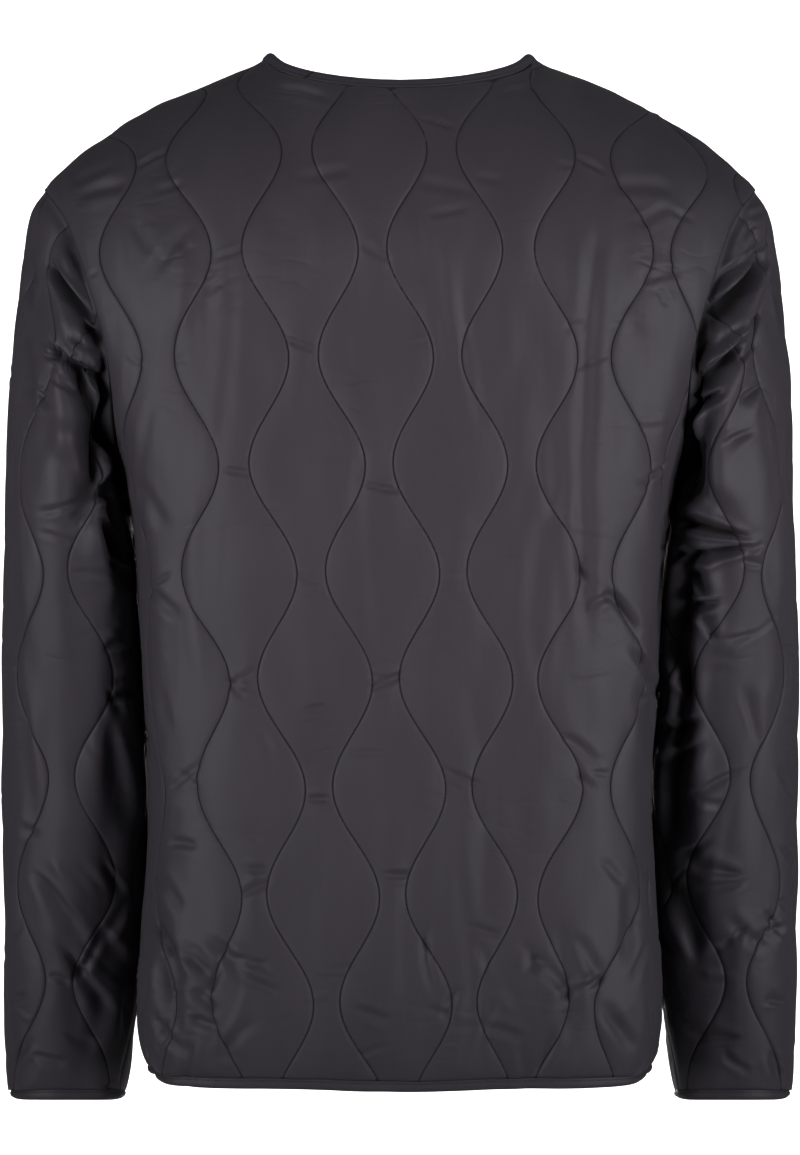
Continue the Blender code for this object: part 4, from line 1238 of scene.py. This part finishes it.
def bindEdge(name, seam, past, closed, seed, length):
    # `past` is a direction, or gives one for each point of the path
    path = smoothed(evenPath(seam, binding["spacing"], closed), closed)
    direction = past(path) if callable(past) else np.repeat(past[None], len(path), axis=0)
    flare, joint = 0.0, None
    if name == "neck_binding":
        flare = 2.5 * bell(path[:, 1], 0.022)
        joint = int(np.argmin(np.abs(path[:, 0] - binding["jointX"]) + (path[:, 1] < 0)))
    piece, stitches = bindingPiece(name, path, direction, closed, seed, flare, joint)
    threads = stitchPiece(name + "_stitches", [stitches])
    declare(piece, threads, name, "binding_cloth", flat=(binding["cutWidth"], length),
            held="folded")


def neckPast(path):
    # up, and leaning in over the neck, less so at the shoulders
    inward = unit(-path * np.array([1, 1, 0]))
    lean = (binding["neckLean"] - 0.32 * bell(path[:, 1], 0.025))[:, None]
    return lean * inward + np.sqrt(1 - lean ** 2) * np.array([0, 0, 1])


bindEdge("neck_binding", neckSeam, neckPast, False, 11, 0.68)
bindEdge("hem_binding", hemSeam[::-1], down, False, 12, 1.00)
bindEdge("front_binding_left", left[::-1, 0], leftX, False, 13, 0.63)
bindEdge("front_binding_right", right[:, -1], -leftX, False, 14, 0.63)
bindEdge("cuff_binding_left", cloths["sleeve_left"]["base"][-1], down, True, 15, 0.275)
bindEdge("cuff_binding_right", cloths["sleeve_right"]["base"][-1], down, True, 16, 0.275)

print("setting the studs")
stud = {
    "count": 5, "topZ": -0.118, "step": 0.134, "sides": 48,
    # radius, height of the cap's profile
    "cap": [(0, 0.00175), (0.0018, 0.00172), (0.0034, 0.0016), (0.0044, 0.00138), (0.0050, 0.00115),
            (0.0053, 0.00098), (0.0055, 0.00104), (0.0059, 0.00112), (0.0063, 0.00092),
            (0.0065, 0.00055), (0.0064, 0.00018), (0.0060, 0.0), (0, 0.0)],
    "socket": [(0, 0.0005), (0.0014, 0.0005), (0.0020, 0.0006), (0.0023, 0.00135), (0.0028, 0.0016),
               (0.0036, 0.0015), (0.0041, 0.0010), (0.0046, 0.00075), (0.0056, 0.0007),
               (0.0063, 0.00045), (0.0064, 0.0001), (0.0060, 0.0), (0, 0.0)],
}


def turned(name, profile, place, facing):
    # half profile turned round the axis `facing`, closed at both poles
    radius, height = np.array(profile)[1:-1].T
    sideways = unit(np.cross(facing, (0, 0, 1.0)))
    upward = np.cross(sideways, facing)
    angle = 2 * math.pi * np.arange(stud["sides"]) / stud["sides"]
    ring = np.cos(angle)[:, None] * sideways + np.sin(angle)[:, None] * upward
    points = place + radius[:, None, None] * ring[None] + height[:, None, None] * facing
    rows, columns = points.shape[:2]
    number = np.arange(rows * columns).reshape(rows, columns)
    after = np.roll(number, -1, axis=1)
    faces = np.stack([number[:-1], number[1:], after[1:], after[:-1]], axis=-1).reshape(-1, 4)
    top, foot = rows * columns, rows * columns + 1
    caps = np.concatenate([np.stack([number[0], after[0], np.full(columns, top)], axis=1),
                           np.stack([after[-1], number[-1], np.full(columns, foot)], axis=1)])
    flat = np.concatenate([points.reshape(-1, 3), [place + profile[0][1] * facing, place]])
    return makeMesh(name, flat, [faces, caps], materials["stud"])


def studSeat(cloth, z, inside):
    # the grid point of a front nearest the middle at this height, on its face or its back
    grid = cloth["back" if inside else "face"]
    nearest = np.argmin((grid[..., 0]) ** 2 + (grid[..., 2] - z) ** 2)
    return grid.reshape(-1, 3)[nearest], cloth["normals"].reshape(-1, 3)[nearest]


for count in range(stud["count"]):
    z = stud["topZ"] - count * stud["step"]
    place, normal = studSeat(cloths["front_left"], z, False)
    cap = turned(f"stud_cap_{count + 1}", stud["cap"], place + 0.0003 * normal, normal)
    place, normal = studSeat(cloths["front_right"], z, True)
    socket = turned(f"stud_socket_{count + 1}", stud["socket"], place - 0.0003 * normal, -normal)
    for piece, node in ((cap, f"snap_cap_{count + 1}"), (socket, f"snap_back_{count + 1}")):
        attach(piece, "root")
        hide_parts(node)

print("lighting the studio")
studio = {
    "floorZ": -1.45, "floorSize": 4.0,
    "cameraY": 3.0, "cameraZ": -0.365, "lens": 133.6, "aimZ": -0.23,
    # place, size, watts, spread in degrees, aimed at the wearer's chest
    "lamps": [((2.6, 2.9, -0.4), 1.0, 2.2, 25), ((3.4, 1.9, 0.0), 1.0, 5.6, 60),
              ((-2.6, 2.9, -0.4), 1.0, 2.2, 25), ((-3.55, 1.6, 0.0), 1.0, 7.2, 60),
              ((0.3, -4.0, -0.2), 1.4, 80, 180)],
    "ambient": 0.04, "backdrop": 1.05, "exposure": 0.62, "gamma": 0.76,
}
half = studio["floorSize"]
corners = ((-half, -half), (half, -half), (half, half), (-half, half))
floorMesh = bpy.data.meshes.new("floor")
floorMesh.from_pydata([(x, y, studio["floorZ"]) for x, y in corners], [], [(0, 1, 2, 3)])
floor = bpy.data.objects.new("floor", floorMesh)
bpy.context.scene.collection.objects.link(floor)
pale = Graph("pale_floor", (0.82, 0.82, 0.82), {"Roughness": 0.8, "Specular IOR Level": 0.2})
floorMesh.materials.append(pale.material)

middle = Vector((0, 0, studio["aimZ"]))
for number, (place, size, watts, spread) in enumerate(studio["lamps"]):
    lamp = bpy.data.lights.new(f"softbox_{number + 1}", "AREA")
    lamp.shape = "SQUARE"
    lamp.size = size
    lamp.energy = watts
    lamp.spread = math.radians(spread)
    holder = bpy.data.objects.new(lamp.name, lamp)
    holder.location = place
    holder.rotation_euler = (middle - Vector(place)).to_track_quat("-Z", "Y").to_euler()
    holder.visible_camera = False
    bpy.context.scene.collection.objects.link(holder)

world = bpy.data.worlds.new("studio")
world.use_nodes = True
bpy.context.scene.world = world
tree = world.node_tree
light = tree.nodes["Background"]
light.inputs["Color"].default_value = (1, 1, 1, 1)
light.inputs["Strength"].default_value = studio["ambient"]
seen = tree.nodes.new("ShaderNodeBackground")
seen.inputs["Color"].default_value = (1, 1, 1, 1)
seen.inputs["Strength"].default_value = studio["backdrop"]
chooser = tree.nodes.new("ShaderNodeMixShader")
ray = tree.nodes.new("ShaderNodeLightPath")
tree.links.new(ray.outputs["Is Camera Ray"], chooser.inputs["Fac"])
tree.links.new(light.outputs[0], chooser.inputs[1])
tree.links.new(seen.outputs[0], chooser.inputs[2])
tree.links.new(chooser.outputs[0], tree.nodes["World Output"].inputs["Surface"])

camera = bpy.data.cameras.new("camera")
camera.lens = studio["lens"]
camera.sensor_width = 36.0
camera.clip_start = 0.05
viewer = bpy.data.objects.new("camera", camera)
viewer.location = (0.0, studio["cameraY"], studio["cameraZ"])
viewer.rotation_euler = (math.pi / 2, 0, math.pi)
bpy.context.scene.collection.objects.link(viewer)
bpy.context.scene.camera = viewer
view = bpy.context.scene.view_settings
view.view_transform = "Standard"
view.exposure = studio["exposure"]
view.gamma = studio["gamma"]
